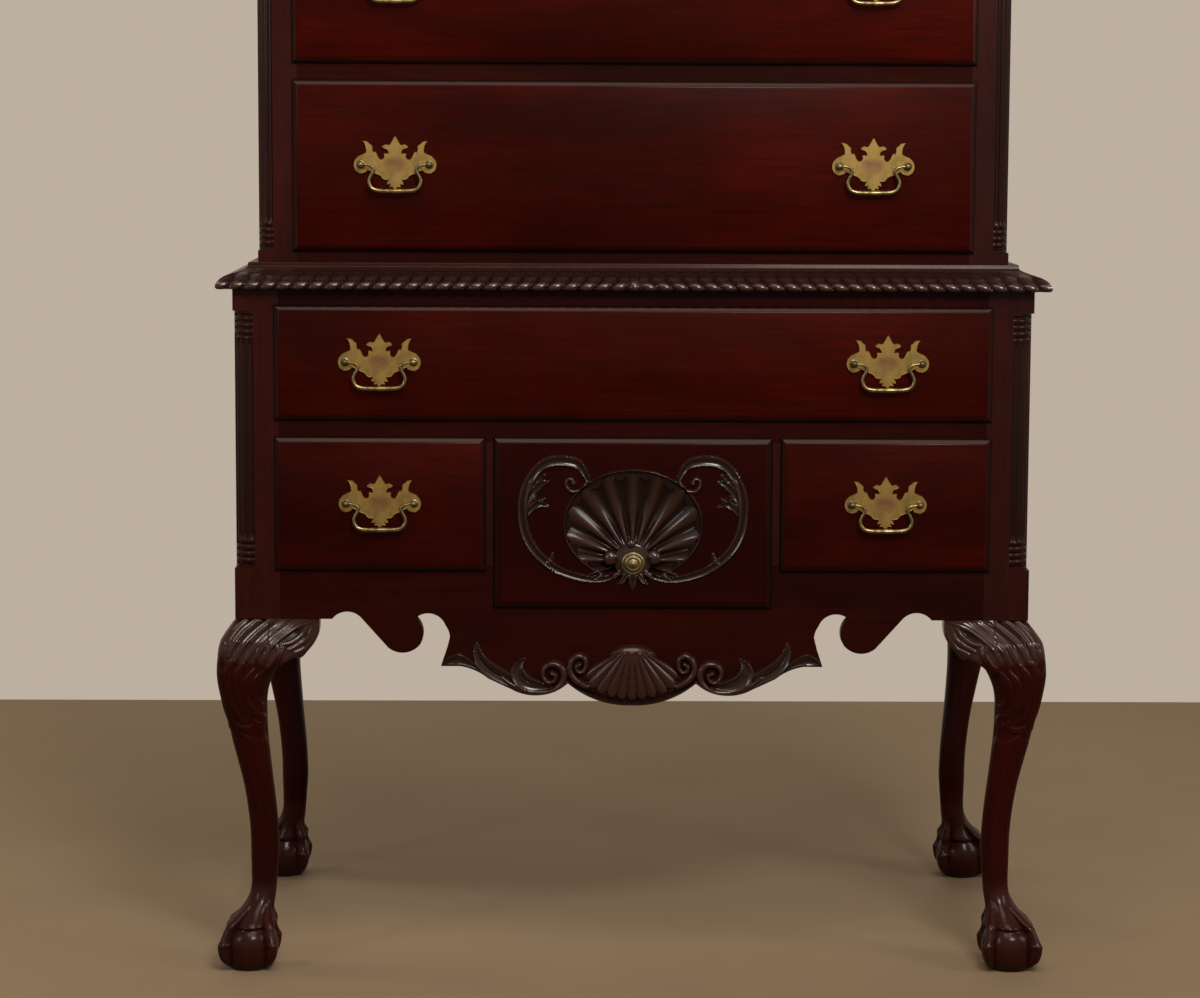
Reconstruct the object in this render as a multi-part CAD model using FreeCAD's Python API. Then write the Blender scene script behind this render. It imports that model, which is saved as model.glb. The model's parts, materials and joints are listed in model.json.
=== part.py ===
import FreeCAD, Part
import math
import os

# A highboy: a base on cabriole legs, and an upper chest of drawers that stands in its
# waist moulding. Millimetres. The front faces -Y, +Z is up, and the origin is on the
# floor under the middle of the lower case.

V = FreeCAD.Vector

# ---------------------------------------------------------------- driving dimensions
# Lower case
LOWER_WIDTH = 1026.0
LOWER_DEPTH = 545.0
FLOOR_TO_CASE = 463.9
STILE = 58.5
SIDE_SILL_RISE = 69.6
SHELL_DROP = 47.8
SMALL_OPENING_HEIGHT = 161.5
SHELL_OPENING_WIDTH = 346.8
PARTITION = 22.3
MID_RAIL = 33.0
LONG_OPENING_HEIGHT = 136.1
TOP_RAIL = 25.9
APRON_THICK = 20.0
SIDE_BOARD = 18.0
BACK_BOARD = 14.0

# Upper case
UPPER_SETBACK = 30.5
UPPER_STILE = 51.1
UPPER_SILL_RISE = 52.9
UPPER_RAIL = 32.8
UPPER_OPENINGS = (206.8, 206.8, 172.0)
TOP_ROW_HEIGHT = 142.0
TOP_SHELL_WIDTH = 250.0
FRIEZE = 38.0
CASE_BOARD = 16.0

# Quarter columns in the corners
LOWER_COLUMN_RADIUS = 26.0
UPPER_COLUMN_RADIUS = 20.0
LOWER_COLUMN_BASE_RISE = 66.0
LOWER_COLUMN_TOP_DROP = 28.0
UPPER_COLUMN_BASE_RISE = 47.7
UPPER_COLUMN_TOP_DROP = 12.0
COLUMN_TURNING = 30.0
COLUMN_STEPS = 4
FLUTES = 4
FLUTE_DEPTH = 2.6

# Drawers
LIP_OVERLAP = 6.0
LIP_THICK = 9.0
FRONT_THICK = 13.0
DRAWER_GAP = 1.0
BOX_SIDE = 9.0
BOX_BOTTOM = 6.0
BOX_BOTTOM_RAISED = 9.0
BOX_SIDE_LOWER = 8.0
BOX_BACK_GAP = 12.0
RUNNER_THICK = 18.0
RUNNER_WIDTH = 20.0
GUIDE_HEIGHT = 30.0
SHELL_FRONT_EXTRA = 12.0

# Shell carved in the centre drawers
SHELL_RIBS = 13
SHELL_SPAN = 176.0
SHELL_KNOB_ABOVE_LIP = 61.2
SHELL_FAN_DEGREES = 232.0
RIB_SIDES = 6

# Cabriole legs and feet
KNEE_PROUD = 25.5
ANKLE_OUTER = 15.3
ANKLE_INNER = 49.6
ANKLE_HEIGHT = 104.0
LEG_CORNER_STEPS = 2
BALL_RADIUS = 35.5
BALL_IN = 14.0
BALL_HEIGHT = 67.0
BALL_SIDES = 12
CLAWS = 4
CLAW_SIDES = 5
BRACKET_LENGTH = 50.0
BRACKET_DROP = 52.0
BRACKET_THICK = 20.0
SKIRT_DIP = 34.0
SKIRT_FLAT = 12.0
SKIRT_SCALLOP = 36.0      # length of the small scallop beside a bracket
SKIRT_SCALLOP_RISE = 7.5
SKIRT_SHOULDER = 24.0     # from the scallop to the long middle curve
SKIRT_LIP = 4.0           # how much a corner of the skirt hangs over its neighbour

# Waist moulding, gadrooned outside, and the fillet above it
WAIST_PROUD = 20.0
WAIST_OVOLO = 22.0
WAIST_FILLET_IN = 11.9
WAIST_FILLET_TOP = 33.2

# Handles
POST_SPACING = 87.4
UPPER_HANDLE_INSET = 125.8  # from the end of the opening to the middle of a handle
LOWER_HANDLE_INSET = 129.5
POST_ABOVE_MIDDLE = 2.0
PLATE_THICK = 1.6
SHANK_HALF = 2.1
SHANK_CLEARANCE = 0.3
POST_HEAD_RADIUS = 4.5
POST_STANDOFF = 8.0
PIN_RADIUS = 1.35
PIN_HOLE_HALF = 1.7
PIN_DEPTH = 3.4
PIN_END_GAP = 0.5
BAIL_DROP = 34.4
BAIL_BELLY = 3.2
BAIL_NECK = 1.6
NUT_HALF = 5.0
NUT_THICK = 3.0
KNOB_RADIUS = 15.5
KNOB_LENGTH = 22.0
KNOB_SIDES = 12
SHANK_PAST_NUT = 3.0

# Cornice, swan necks and bonnet
CORNICE_HEIGHT = 58.0
CORNICE_PROUD = 44.0
NECK_RISE = 262.0
NECK_STEPS = 8
NECK_END_FROM_MIDDLE = 118.0
ROSETTE_RADIUS = 44.0
ROSETTE_THICK = 30.0
ROSETTE_SIDES = 12
PEDIMENT_THICK = 20.0
BONNET_SKIN = 8.0
BONNET_WELL_DEPTH = 120.0

# Finials
PLINTH_HALF = 26.0
PLINTH_HEIGHT = 62.0
CENTRE_PLINTH_HEIGHT = 96.0
URN_RADIUS = 25.0
FINIAL_HEIGHT = 168.0
CENTRE_FINIAL_HEIGHT = 205.0
FINIAL_INSET = 6.0
URN_SIDES = 8
FLAME_SIDES = 6

# ------------------------------------------------------------------- derived places
HALF = LOWER_WIDTH / 2
FRONT = -LOWER_DEPTH / 2
BACK = LOWER_DEPTH / 2
UPPER_HALF = HALF - UPPER_SETBACK
UPPER_FRONT = FRONT + UPPER_SETBACK

SIDE_SILL = FLOOR_TO_CASE + SIDE_SILL_RISE
SHELL_SILL = SIDE_SILL - SHELL_DROP
SMALL_TOP = SIDE_SILL + SMALL_OPENING_HEIGHT
LONG_SILL = SMALL_TOP + MID_RAIL
LONG_TOP = LONG_SILL + LONG_OPENING_HEIGHT
CASE_TOP = LONG_TOP + TOP_RAIL
OPENING_HALF = HALF - STILE
SHELL_HALF = SHELL_OPENING_WIDTH / 2
PARTITION_OUT = SHELL_HALF + PARTITION

UPPER_OPENING_HALF = UPPER_HALF - UPPER_STILE
UPPER_BACK_FACE = BACK - BACK_BOARD
LOWER_BACK_FACE = BACK - BACK_BOARD
STILE_BACK = FRONT + STILE
UPPER_STILE_BACK = UPPER_FRONT + UPPER_STILE
WAIST_TOP = CASE_TOP + WAIST_FILLET_TOP


def upper_sills():
    """Heights of the bottoms of the upper openings, from the lowest long drawer up."""
    sills = [CASE_TOP + UPPER_SILL_RISE]
    for height in UPPER_OPENINGS:
        sills.append(sills[-1] + height + UPPER_RAIL)
    return sills


UPPER_SILLS = upper_sills()
TOP_ROW_SILL = UPPER_SILLS[-1]
TOP_ROW_TOP = TOP_ROW_SILL + TOP_ROW_HEIGHT
UPPER_TOP = TOP_ROW_TOP + FRIEZE
TOP_SHELL_HALF = TOP_SHELL_WIDTH / 2
TOP_PARTITION_OUT = TOP_SHELL_HALF + PARTITION


# ---------------------------------------------------------------------- small helpers
def block(x0, x1, y0, y1, z0, z1):
    """A straight piece between two corners."""
    return Part.makeBox(x1 - x0, y1 - y0, z1 - z0, V(x0, y0, z0))


def flip_x(shape):
    """The same piece on the other side of the case."""
    return shape.mirror(V(0, 0, 0), V(1, 0, 0))


def flip_y(shape):
    """The same piece at the back of the case."""
    return shape.mirror(V(0, 0, 0), V(0, 1, 0))


def both_sides(shape):
    """A piece and its mirror image left and right."""
    return [shape, flip_x(shape)]


def moved(shape, x, y, z):
    """The shape shifted by x, y and z."""
    copy = shape.copy()
    copy.translate(V(x, y, z))
    return copy


def polygon(points):
    """A closed wire of straight edges."""
    return Part.makePolygon(list(points) + [points[0]])


def flat_faces(corners):
    """One flat face on the corners, or two triangles where four corners don't lie flat."""
    if len(corners) == 4:
        normal = (corners[1] - corners[0]).cross(corners[2] - corners[0])
        off = (corners[3] - corners[0]).dot(normal)
        if normal.Length < 1e-9 or abs(off) > 1e-7 * normal.Length:
            return flat_faces(corners[:3]) + flat_faces([corners[0], corners[2], corners[3]])
    return [Part.Face(polygon(corners))]


def ruled(rings):
    """A solid with straight sides from ring to ring; each ring is a list of corners."""
    faces = flat_faces(rings[0]) + flat_faces(rings[-1])
    for lower, upper in zip(rings, rings[1:]):
        count = len(lower)
        for k in range(count):
            after = (k + 1) % count
            faces += flat_faces([lower[k], lower[after], upper[after], upper[k]])
    solid = Part.makeSolid(Part.makeShell(faces))
    if solid.Volume < 0:
        solid.reverse()
    return solid


def front_prism(points, y0, y1):
    """A flat piece seen from the front: (x, z) corners between two depths."""
    face = Part.Face(polygon([V(x, y0, z) for x, z in points]))
    return face.extrude(V(0, y1 - y0, 0))



def ring(x, y, z, radius, sides, turn=0.0):
    """A level regular polygon."""
    step = 2 * math.pi / sides
    corners = []
    for k in range(sides):
        angle = turn + k * step
        corners.append(V(x + radius * math.cos(angle), y + radius * math.sin(angle), z))
    return corners


def outward_ring(x, y, z, radius, sides):
    """A regular polygon square to the front of the case, with a flat on each side."""
    step = 2 * math.pi / sides
    flat = radius / math.cos(step / 2)
    corners = []
    for k in range(sides):
        angle = (k + 0.5) * step
        corners.append(V(x + flat * math.cos(angle), y, z + flat * math.sin(angle)))
    return corners


def save(name, solids):
    """Write one node, as one solid or as a group of separate solids."""
    shape = solids[0] if len(solids) == 1 else Part.makeCompound(solids)
    shape.exportStep("parts/" + name + ".step")


# --------------------------------------------------------------------- cabriole legs
def leg_section(z, outer, inner, roundness):
    """A level rounded square between two distances inward from the case corner."""
    radius = roundness * (inner - outer) / 2
    middle = (outer + inner) / 2
    straight = (inner - outer) / 2 - radius
    corners = []
    for k in range(4):
        start = k * math.pi / 2
        x = middle + straight * (math.cos(start) - math.sin(start))
        y = middle + straight * (math.sin(start) + math.cos(start))
        for j in range(LEG_CORNER_STEPS + 1):
            angle = start + j * math.pi / 2 / LEG_CORNER_STEPS
            corners.append(V(x + radius * math.cos(angle), y + radius * math.sin(angle), z))
    return corners


def leg_shaft():
    """The S-curved shaft from the ankle to the top of the knee."""
    rise = FLOOR_TO_CASE - ANKLE_HEIGHT
    shin = ANKLE_INNER - 8.5
    stations = (
        (-0.04, ANKLE_OUTER - 3.8, ANKLE_INNER - 1.0, 0.90),
        (0.03, ANKLE_OUTER, ANKLE_INNER, 0.90),
        (0.18, ANKLE_OUTER - 0.6, ANKLE_INNER + 2.0, 0.88),
        (0.36, ANKLE_OUTER - 6.8, ANKLE_INNER - 2.0, 0.82),
        (0.52, ANKLE_OUTER - 18.3, shin + 0.6, 0.74),
        (0.65, ANKLE_OUTER - 30.9, shin, 0.66),
        (0.76, 1.9 - KNEE_PROUD, shin + 2.0, 0.58),
        (0.84, -KNEE_PROUD, STILE - 2.0, 0.50),
        (0.92, 5.0 - KNEE_PROUD, STILE, 0.38),
        (1.0, 0.0, STILE, 0.10),
    )
    rings = []
    for share, outer, inner, roundness in stations:
        rings.append(leg_section(ANKLE_HEIGHT + share * rise, outer, inner, roundness))
    return ruled(rings)


def claw(direction):
    """One jointed claw: it leaves the ankle and grips the ball in one direction."""
    ankle_in = (ANKLE_OUTER + ANKLE_INNER) / 2
    lean = V(ankle_in - BALL_IN, ankle_in - BALL_IN, 0)
    out = V(math.cos(direction), math.sin(direction), 0)
    across = V(-out.y, out.x, 0)
    middle = V(BALL_IN, BALL_IN, 0)
    grip = BALL_RADIUS + 6.0
    knuckle = 0.62 * BALL_HEIGHT
    stations = (
        (1.0, 9.0, ANKLE_HEIGHT + 2.0, 5.0),
        (0.58, 0.58 * grip, knuckle + 42.0, 8.0),
        (0.24, 0.88 * grip, knuckle + 22.0, 7.0),
        (0.0, grip, knuckle, 8.8),
        (0.0, 0.97 * grip, 0.5 * knuckle, 7.4),
        (0.0, 0.86 * grip, 0.0, 6.0),
    )
    centres = [middle + out * far + lean * share + V(0, 0, z) for share, far, z, _ in stations]
    rings = []
    for k, (_, _, _, width) in enumerate(stations):
        ahead = centres[min(k + 1, len(centres) - 1)]
        behind = centres[max(k - 1, 0)]
        along = (ahead - behind).normalize()
        if k == len(stations) - 1:
            along = V(0, 0, -1)
        lift = along.cross(across).normalize()
        corners = []
        for j in range(CLAW_SIDES):
            angle = math.pi / 2 + j * 2 * math.pi / CLAW_SIDES
            corners.append(
                centres[k] + across * (width * math.cos(angle)) + lift * (width * math.sin(angle)))
        rings.append(corners)
    return ruled(rings)


def ball():
    """The ball, flattened below where it stands."""
    widths = ((0.0, 0.74), (0.12, 0.90), (0.34, 1.0), (0.58, 0.98), (0.80, 0.80), (1.0, 0.30))
    turn = math.pi / BALL_SIDES
    rings = []
    for share, width in widths:
        rings.append(ring(BALL_IN, BALL_IN, share * BALL_HEIGHT, width * BALL_RADIUS, BALL_SIDES, turn))
    return ruled(rings)


def web():
    """The flesh between the claws, from the ankle down to the ball."""
    ankle_in = (ANKLE_OUTER + ANKLE_INNER) / 2
    ankle_radius = (ANKLE_INNER - ANKLE_OUTER) / 2
    low = 0.72 * BALL_HEIGHT
    turn = math.pi / BALL_SIDES
    rings = []
    for share, size in ((1.0, 1.0), (0.60, 1.2), (0.18, 1.50), (0.0, 1.45)):
        at = BALL_IN + share * (ankle_in - BALL_IN)
        z = low + share * (ANKLE_HEIGHT - low)
        rings.append(ring(at, at, z, size * ankle_radius, BALL_SIDES, turn))
    return ruled(rings)


def foot():
    """The ball and its claws, flat where it stands on the floor."""
    step = 2 * math.pi / CLAWS
    claws = [claw(math.pi / 4 + k * step) for k in range(CLAWS)]
    gripped = ball().fuse(claws + [web()])
    reach = 3 * BALL_RADIUS
    above_floor = block(-reach, reach + STILE, -reach, reach + STILE, 0, 2 * ANKLE_HEIGHT)
    return gripped.common(above_floor)


def leg(notched):
    """A whole leg at the front left: foot, shaft, knee and the stile above it."""
    stile = block(0, STILE, 0, STILE, FLOOR_TO_CASE, CASE_TOP)
    if notched:
        notch_low = FLOOR_TO_CASE + LOWER_COLUMN_BASE_RISE
        notch_high = CASE_TOP - LOWER_COLUMN_TOP_DROP
        reach = LOWER_COLUMN_RADIUS
        stile = stile.cut(block(-1, reach, -1, reach, notch_low, notch_high))
    whole = stile.fuse([leg_shaft(), foot()]).removeSplitter()
    return moved(whole, -HALF, FRONT, 0)


def knee_bracket():
    """The block that carries the knee's curve on along the front, at the left leg."""
    top = FLOOR_TO_CASE
    start = STILE
    end = STILE + BRACKET_LENGTH
    low = top - BRACKET_DROP
    outline = [V(start, 0, top), V(end, 0, top), V(end - 1.5, 0, top - 0.32 * BRACKET_DROP)]
    outline.append(V(end - 8.0, 0, top - 0.6 * BRACKET_DROP))
    outline.append(V(0.5 * (start + end), 0, low))
    outline.append(V(start, 0, low - 5.0))
    board = Part.Face(polygon([point + V(0, BRACKET_THICK, 0) for point in outline]))
    board = board.extrude(V(0, -BRACKET_THICK - KNEE_PROUD, 0))
    side = [V(start, BRACKET_THICK, top), V(start, 0, top), V(start, 11.0 - KNEE_PROUD, top - 20.0)]
    side.append(V(start, 2.5 - KNEE_PROUD, top - 0.7 * BRACKET_DROP))
    side.append(V(start, 1.5 - KNEE_PROUD, low - 6.0))
    side.append(V(start, BRACKET_THICK, low - 6.0))
    curved = Part.Face(polygon(side)).extrude(V(BRACKET_LENGTH + 1.0, 0, 0))
    plan = [V(start, BRACKET_THICK, low - 8.0), V(start, -KNEE_PROUD, low - 8.0)]
    plan.append(V(0.6 * start + 0.4 * end, 5.0 - KNEE_PROUD, low - 8.0))
    plan.append(V(end, 0.0, low - 8.0))
    plan.append(V(end, BRACKET_THICK, low - 8.0))
    fading = Part.Face(polygon(plan)).extrude(V(0, 0, BRACKET_DROP + 9.0))
    return board.common(curved).common(fading)


def knee_brackets():
    """Brackets on the front and the sides of the front legs, and the sides of the rear ones."""
    front = knee_bracket()
    side = front.mirror(V(0, 0, 0), V(1, -1, 0))
    front = moved(front, -HALF, FRONT, 0)
    side = moved(side, -HALF, FRONT, 0)
    return both_sides(front) + both_sides(side) + both_sides(flip_y(side))


# ------------------------------------------------------------------------ lower case
def arc(points):
    """A round edge through three points."""
    return Part.Arc(points[0], points[1], points[2]).toShape()


def apron_runs():
    """The scalloped edge of the left half: places across, and drops below the case.

    A run of two points is straight and a run of three is round."""
    return (
        ((-387.8, 0.0), (-371.7, 9.3), (-349.2, 0.2)),
        ((-349.2, 0.2), (-315.5, -37.5)),
        ((-315.5, -37.5), (-294.5, -44.0), (-275.0, -34.0)),
        ((-275.0, -34.0), (-270.3, -15.0), (-279.5, 1.9)),
        ((-279.5, 1.9), (-260.0, 7.2), (-241.5, -8.0)),
        ((-241.5, -8.0), (-235.8, -25.0), (-240.0, -40.0)),
        ((-240.0, -40.0), (-247.2, -61.3)),
        ((-247.2, -61.3), (-213.0, -63.2), (-186.0, -77.5)),
        ((-186.0, -77.5), (-157.0, -91.0)),
        ((-157.0, -91.0), (-119.0, -99.3), (-83.0, -83.6)),
        ((-83.0, -83.6), (-45.0, -105.5), (0.0, -112.3)),
    )


def scalloped_edges(runs, side, stretch):
    """Edges of the scalloped line on one side of the middle."""
    edges = []
    for run in runs:
        points = [V(side * x * stretch, FRONT, FLOOR_TO_CASE + drop) for x, drop in run]
        edges.append(arc(points) if len(points) == 3 else Part.makeLine(points[0], points[1]))
    return edges


def apron():
    """The front board under the small drawers, cut out for the shell drawer."""
    drawn_half = 454.5
    stretch = OPENING_HALF / drawn_half
    runs = apron_runs()
    scallop = -runs[0][0][0] * stretch
    edges = scalloped_edges(runs, 1, stretch) + scalloped_edges(runs, -1, stretch)
    places = (
        (scallop, FLOOR_TO_CASE), (OPENING_HALF, FLOOR_TO_CASE), (OPENING_HALF, SIDE_SILL),
        (SHELL_HALF, SIDE_SILL), (SHELL_HALF, SHELL_SILL), (-SHELL_HALF, SHELL_SILL),
        (-SHELL_HALF, SIDE_SILL), (-OPENING_HALF, SIDE_SILL), (-OPENING_HALF, FLOOR_TO_CASE),
        (-scallop, FLOOR_TO_CASE),
    )
    edges += Part.makePolygon([V(x, FRONT, z) for x, z in places]).Edges
    wire = Part.Wire(Part.__sortEdges__(edges))
    return Part.Face(wire).extrude(V(0, APRON_THICK, 0))


def lower_side():
    """The left side board, with its shaped skirt between the brackets."""
    near = STILE_BACK
    flat = near + BRACKET_LENGTH + SKIRT_FLAT
    scallop = flat + SKIRT_SCALLOP
    shoulder = scallop + SKIRT_SHOULDER
    low = FLOOR_TO_CASE
    dip = SKIRT_DIP
    x = -HALF
    runs = (
        ((flat, low), (flat + 0.47 * SKIRT_SCALLOP, low + SKIRT_SCALLOP_RISE), (scallop, low - SKIRT_LIP)),
        ((scallop, low - SKIRT_LIP), (shoulder, low - dip + SKIRT_LIP)),
        ((shoulder, low - dip + SKIRT_LIP), (0.54 * shoulder, low - dip), (0.0, low - 0.7 * dip)),
    )
    edges = []
    for side in (1, -1):
        for run in runs:
            points = [V(x, side * y, z) for y, z in run]
            edges.append(arc(points) if len(points) == 3 else Part.makeLine(points[0], points[1]))
    top = CASE_TOP
    places = ((flat, low), (near, low), (near, top), (-near, top), (-near, low), (-flat, low))
    edges += Part.makePolygon([V(x, y, z) for y, z in places]).Edges
    wire = Part.Wire(Part.__sortEdges__(edges))
    return Part.Face(wire).extrude(V(SIDE_BOARD, 0, 0))


def lower_frame():
    """Rails and dividers at the front of the lower case."""
    rails = [block(-OPENING_HALF, OPENING_HALF, FRONT, STILE_BACK, LONG_TOP, CASE_TOP)]
    rails.append(block(-OPENING_HALF, OPENING_HALF, FRONT, STILE_BACK, SMALL_TOP, LONG_SILL))
    divider = block(-PARTITION_OUT, -SHELL_HALF, FRONT, FRONT + APRON_THICK, SIDE_SILL, SMALL_TOP)
    return rails + both_sides(divider)


def runner_pair(half_clear, outer_face, front_end, back_end, sill):
    """A runner under the left edge of a wide drawer and the guide beside it, and their mirrors."""
    low = sill - RUNNER_THICK
    runner = block(-outer_face, RUNNER_WIDTH - half_clear, front_end, back_end, low, sill)
    guide = block(-outer_face, -half_clear, front_end, back_end, sill, sill + GUIDE_HEIGHT)
    return both_sides(runner) + both_sides(guide)


def partition_run(inner, outer, front_end, back_end, low, high, sill_in, sill_out):
    """A partition beside a centre drawer and the runner on each of its faces."""
    wall = block(-outer, -inner, front_end, back_end, low, high)
    under_out = sill_out - RUNNER_THICK
    under_in = sill_in - RUNNER_THICK
    outer_runner = block(-outer - RUNNER_WIDTH, -outer, front_end, back_end, under_out, sill_out)
    inner_runner = block(-inner, RUNNER_WIDTH - inner, front_end, back_end, under_in, sill_in)
    return both_sides(wall) + both_sides(outer_runner) + both_sides(inner_runner)


def lower_runners():
    """What the four lower drawers slide on."""
    inside = HALF - SIDE_BOARD
    pieces = runner_pair(OPENING_HALF, inside, STILE_BACK, -STILE_BACK, LONG_SILL)
    pieces += runner_pair(OPENING_HALF, inside, STILE_BACK, -STILE_BACK, SIDE_SILL)
    pieces += partition_run(
        SHELL_HALF, PARTITION_OUT, FRONT + APRON_THICK, LOWER_BACK_FACE,
        SHELL_SILL - RUNNER_THICK, SMALL_TOP, SHELL_SILL, SIDE_SILL,
    )
    return pieces


# ------------------------------------------------------------------- quarter columns
def quarter_section(radius, z, steps):
    """A level quarter round, its corner on the axis."""
    corners = [V(0, 0, z)]
    for k in range(steps + 1):
        angle = math.pi + k * math.pi / 2 / steps
        corners.append(V(radius * math.cos(angle), radius * math.sin(angle), z))
    return corners


def quarter_turning(radius, slim, low, high):
    """A turned end of a quarter column: two rings with a hollow between them."""
    tall = high - low
    rings = []
    for share, size in ((0.0, radius), (0.26, radius), (0.36, slim), (0.54, slim), (0.66, radius),
                        (1.0, slim)):
        rings.append(quarter_section(size, low + share * tall, COLUMN_STEPS))
    return ruled(rings)


def fluted_section(radius, z):
    """A level quarter round with hollow flutes and narrow lands between them."""
    step = math.pi / 2 / FLUTES
    deep = radius - FLUTE_DEPTH
    corners = [V(0, 0, z), V(-radius, 0, z)]
    for k in range(FLUTES):
        for share, reach in ((0.14, radius), (0.36, deep), (0.64, deep), (0.86, radius)):
            angle = math.pi + (k + share) * step
            corners.append(V(reach * math.cos(angle), reach * math.sin(angle), z))
    corners.append(V(0, -radius, z))
    return corners


def quarter_column(radius, low, high):
    """A fluted quarter column with turned ends, its axis on the z axis."""
    shaft_low = low + COLUMN_TURNING
    shaft_high = high - COLUMN_TURNING
    slim = 0.93 * radius
    base = quarter_turning(radius, slim, low, shaft_low)
    cap = quarter_turning(radius, slim, high, shaft_high)
    shaft = ruled([fluted_section(slim, shaft_low), fluted_section(slim, shaft_high)])
    return base.fuse([shaft, cap]).removeSplitter()


def quarter_columns():
    """The four columns: two in the base and two in the upper case."""
    lower = quarter_column(
        LOWER_COLUMN_RADIUS, FLOOR_TO_CASE + LOWER_COLUMN_BASE_RISE, CASE_TOP - LOWER_COLUMN_TOP_DROP)
    lower = moved(lower, LOWER_COLUMN_RADIUS - HALF, FRONT + LOWER_COLUMN_RADIUS, 0)
    upper = quarter_column(
        UPPER_COLUMN_RADIUS, CASE_TOP + UPPER_COLUMN_BASE_RISE, UPPER_TOP - UPPER_COLUMN_TOP_DROP)
    upper = moved(upper, UPPER_COLUMN_RADIUS - UPPER_HALF, UPPER_FRONT + UPPER_COLUMN_RADIUS, 0)
    return both_sides(lower) + both_sides(upper)


# ------------------------------------------------------------------------- mouldings
def moulding_runs(profile, reach, half, front, back, low, high):
    """Front, left and right lengths of a moulding, mitred at the front corners.

    profile is a face at x = 0 whose y is minus the distance in front of the case."""
    front_run = moved(profile, -half - reach, front, 0).extrude(V(2 * (half + reach), 0, 0))
    corners = [V(-half - reach, front - reach, low), V(half + reach, front - reach, low)]
    corners += [V(half, front, low), V(-half, front, low)]
    front_run = front_run.common(Part.Face(polygon(corners)).extrude(V(0, 0, high - low)))
    side_face = profile.copy()
    side_face.rotate(V(0, 0, 0), V(0, 0, 1), -90)
    side_run = moved(side_face, -half, front - reach, 0).extrude(V(0, back - front + reach, 0))
    corners = [V(-half - reach, front - reach, low), V(-half, front, low)]
    corners += [V(-half, back, low), V(-half - reach, back, low)]
    side_run = side_run.common(Part.Face(polygon(corners)).extrude(V(0, 0, high - low)))
    return [front_run] + both_sides(side_run)


def waist_profile():
    """Flat soffit, quarter-round ovolo that carries the gadroons, cove and fillet."""
    out = UPPER_SETBACK + WAIST_PROUD
    low = CASE_TOP
    step = WAIST_FILLET_IN + 5.5
    start = V(0, -out, low + 4.0)
    end = V(0, -step, low + WAIST_OVOLO)
    bulge = V(0, -step - 0.80 * (out - step), low + 4.0 + 0.68 * (WAIST_OVOLO - 4.0))
    ovolo = Part.Arc(start, bulge, end).toShape()
    corners = [end, V(0, -step, low + WAIST_OVOLO + 3.3), V(0, -WAIST_FILLET_IN, low + WAIST_OVOLO + 3.3)]
    corners += [V(0, -WAIST_FILLET_IN, WAIST_TOP), V(0, 0, WAIST_TOP), V(0, 0, low)]
    corners += [V(0, 2.0 - out, low), start]
    return Part.Face(Part.Wire([ovolo] + Part.makePolygon(corners).Edges))


def waist_moulding():
    """The moulding on top of the lower case that the upper case stands in."""
    reach = UPPER_SETBACK + WAIST_PROUD
    return moulding_runs(waist_profile(), reach, UPPER_HALF, UPPER_FRONT, BACK, CASE_TOP, WAIST_TOP)


def cornice_points():
    """Corners of the cornice section: distance out from the case, height above its foot."""
    out = CORNICE_PROUD
    tall = CORNICE_HEIGHT
    return (
        (0.0, 0.0), (0.16 * out, 0.0), (0.20 * out, 0.22 * tall), (0.40 * out, 0.42 * tall),
        (0.46 * out, 0.58 * tall), (0.88 * out, 0.72 * tall), (out, 0.80 * tall), (out, tall),
        (0.0, tall),
    )


def neck_curve(share):
    """A point on the swan neck's lower edge and its direction, from corner to rosette."""
    start_x = 2 * PLINTH_HALF - UPPER_HALF
    run = -NECK_END_FROM_MIDDLE - start_x
    xs = (start_x, start_x + 0.42 * run, start_x + 0.58 * run, start_x + run)
    zs = (UPPER_TOP, UPPER_TOP, UPPER_TOP + NECK_RISE, UPPER_TOP + NECK_RISE)
    rest = 1.0 - share
    weights = (rest**3, 3 * rest**2 * share, 3 * rest * share**2, share**3)
    x = sum(w * c for w, c in zip(weights, xs))
    z = sum(w * c for w, c in zip(weights, zs))
    slopes = (rest**2, 2 * rest * share, share**2)
    along_x = sum(w * (xs[k + 1] - xs[k]) for k, w in enumerate(slopes))
    along_z = sum(w * (zs[k + 1] - zs[k]) for k, w in enumerate(slopes))
    return V(x, 0, z), V(along_x, 0, along_z).normalize()


def swan_neck():
    """The left swan neck: the cornice section carried up an S-curve to its rosette."""
    rings = [[V(-UPPER_HALF - d, UPPER_FRONT - d, UPPER_TOP + h) for d, h in cornice_points()]]
    for k in range(NECK_STEPS + 1):
        at, along = neck_curve(k / NECK_STEPS)
        up = V(-along.z, 0, along.x)
        rings.append([at + up * h + V(0, UPPER_FRONT - d, 0) for d, h in cornice_points()])
    return ruled(rings)


def side_cornice():
    """The level cornice on the left side, mitred to the swan neck."""
    front = [V(-UPPER_HALF - d, UPPER_FRONT - d, UPPER_TOP + h) for d, h in cornice_points()]
    rear = [V(-UPPER_HALF - d, BACK, UPPER_TOP + h) for d, h in cornice_points()]
    return ruled([front, rear])


def rosette():
    """The turned and carved end of the left swan neck."""
    at, _ = neck_curve(1.0)
    centre = V(at.x + ROSETTE_RADIUS, UPPER_FRONT, at.z + 0.45 * CORNICE_HEIGHT)
    disc = ((1.0, 0.0), (1.0, 0.62), (0.80, 0.86), (0.40, 0.70), (0.26, 1.0))
    rings = []
    for share, depth in disc:
        y = UPPER_FRONT - depth * ROSETTE_THICK
        rings.append(outward_ring(centre.x, y, centre.z, share * ROSETTE_RADIUS, ROSETTE_SIDES))
    return ruled(rings)


def cornice():
    """Side cornices, swan necks and rosettes."""
    return both_sides(side_cornice()) + both_sides(swan_neck()) + both_sides(rosette())


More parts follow.
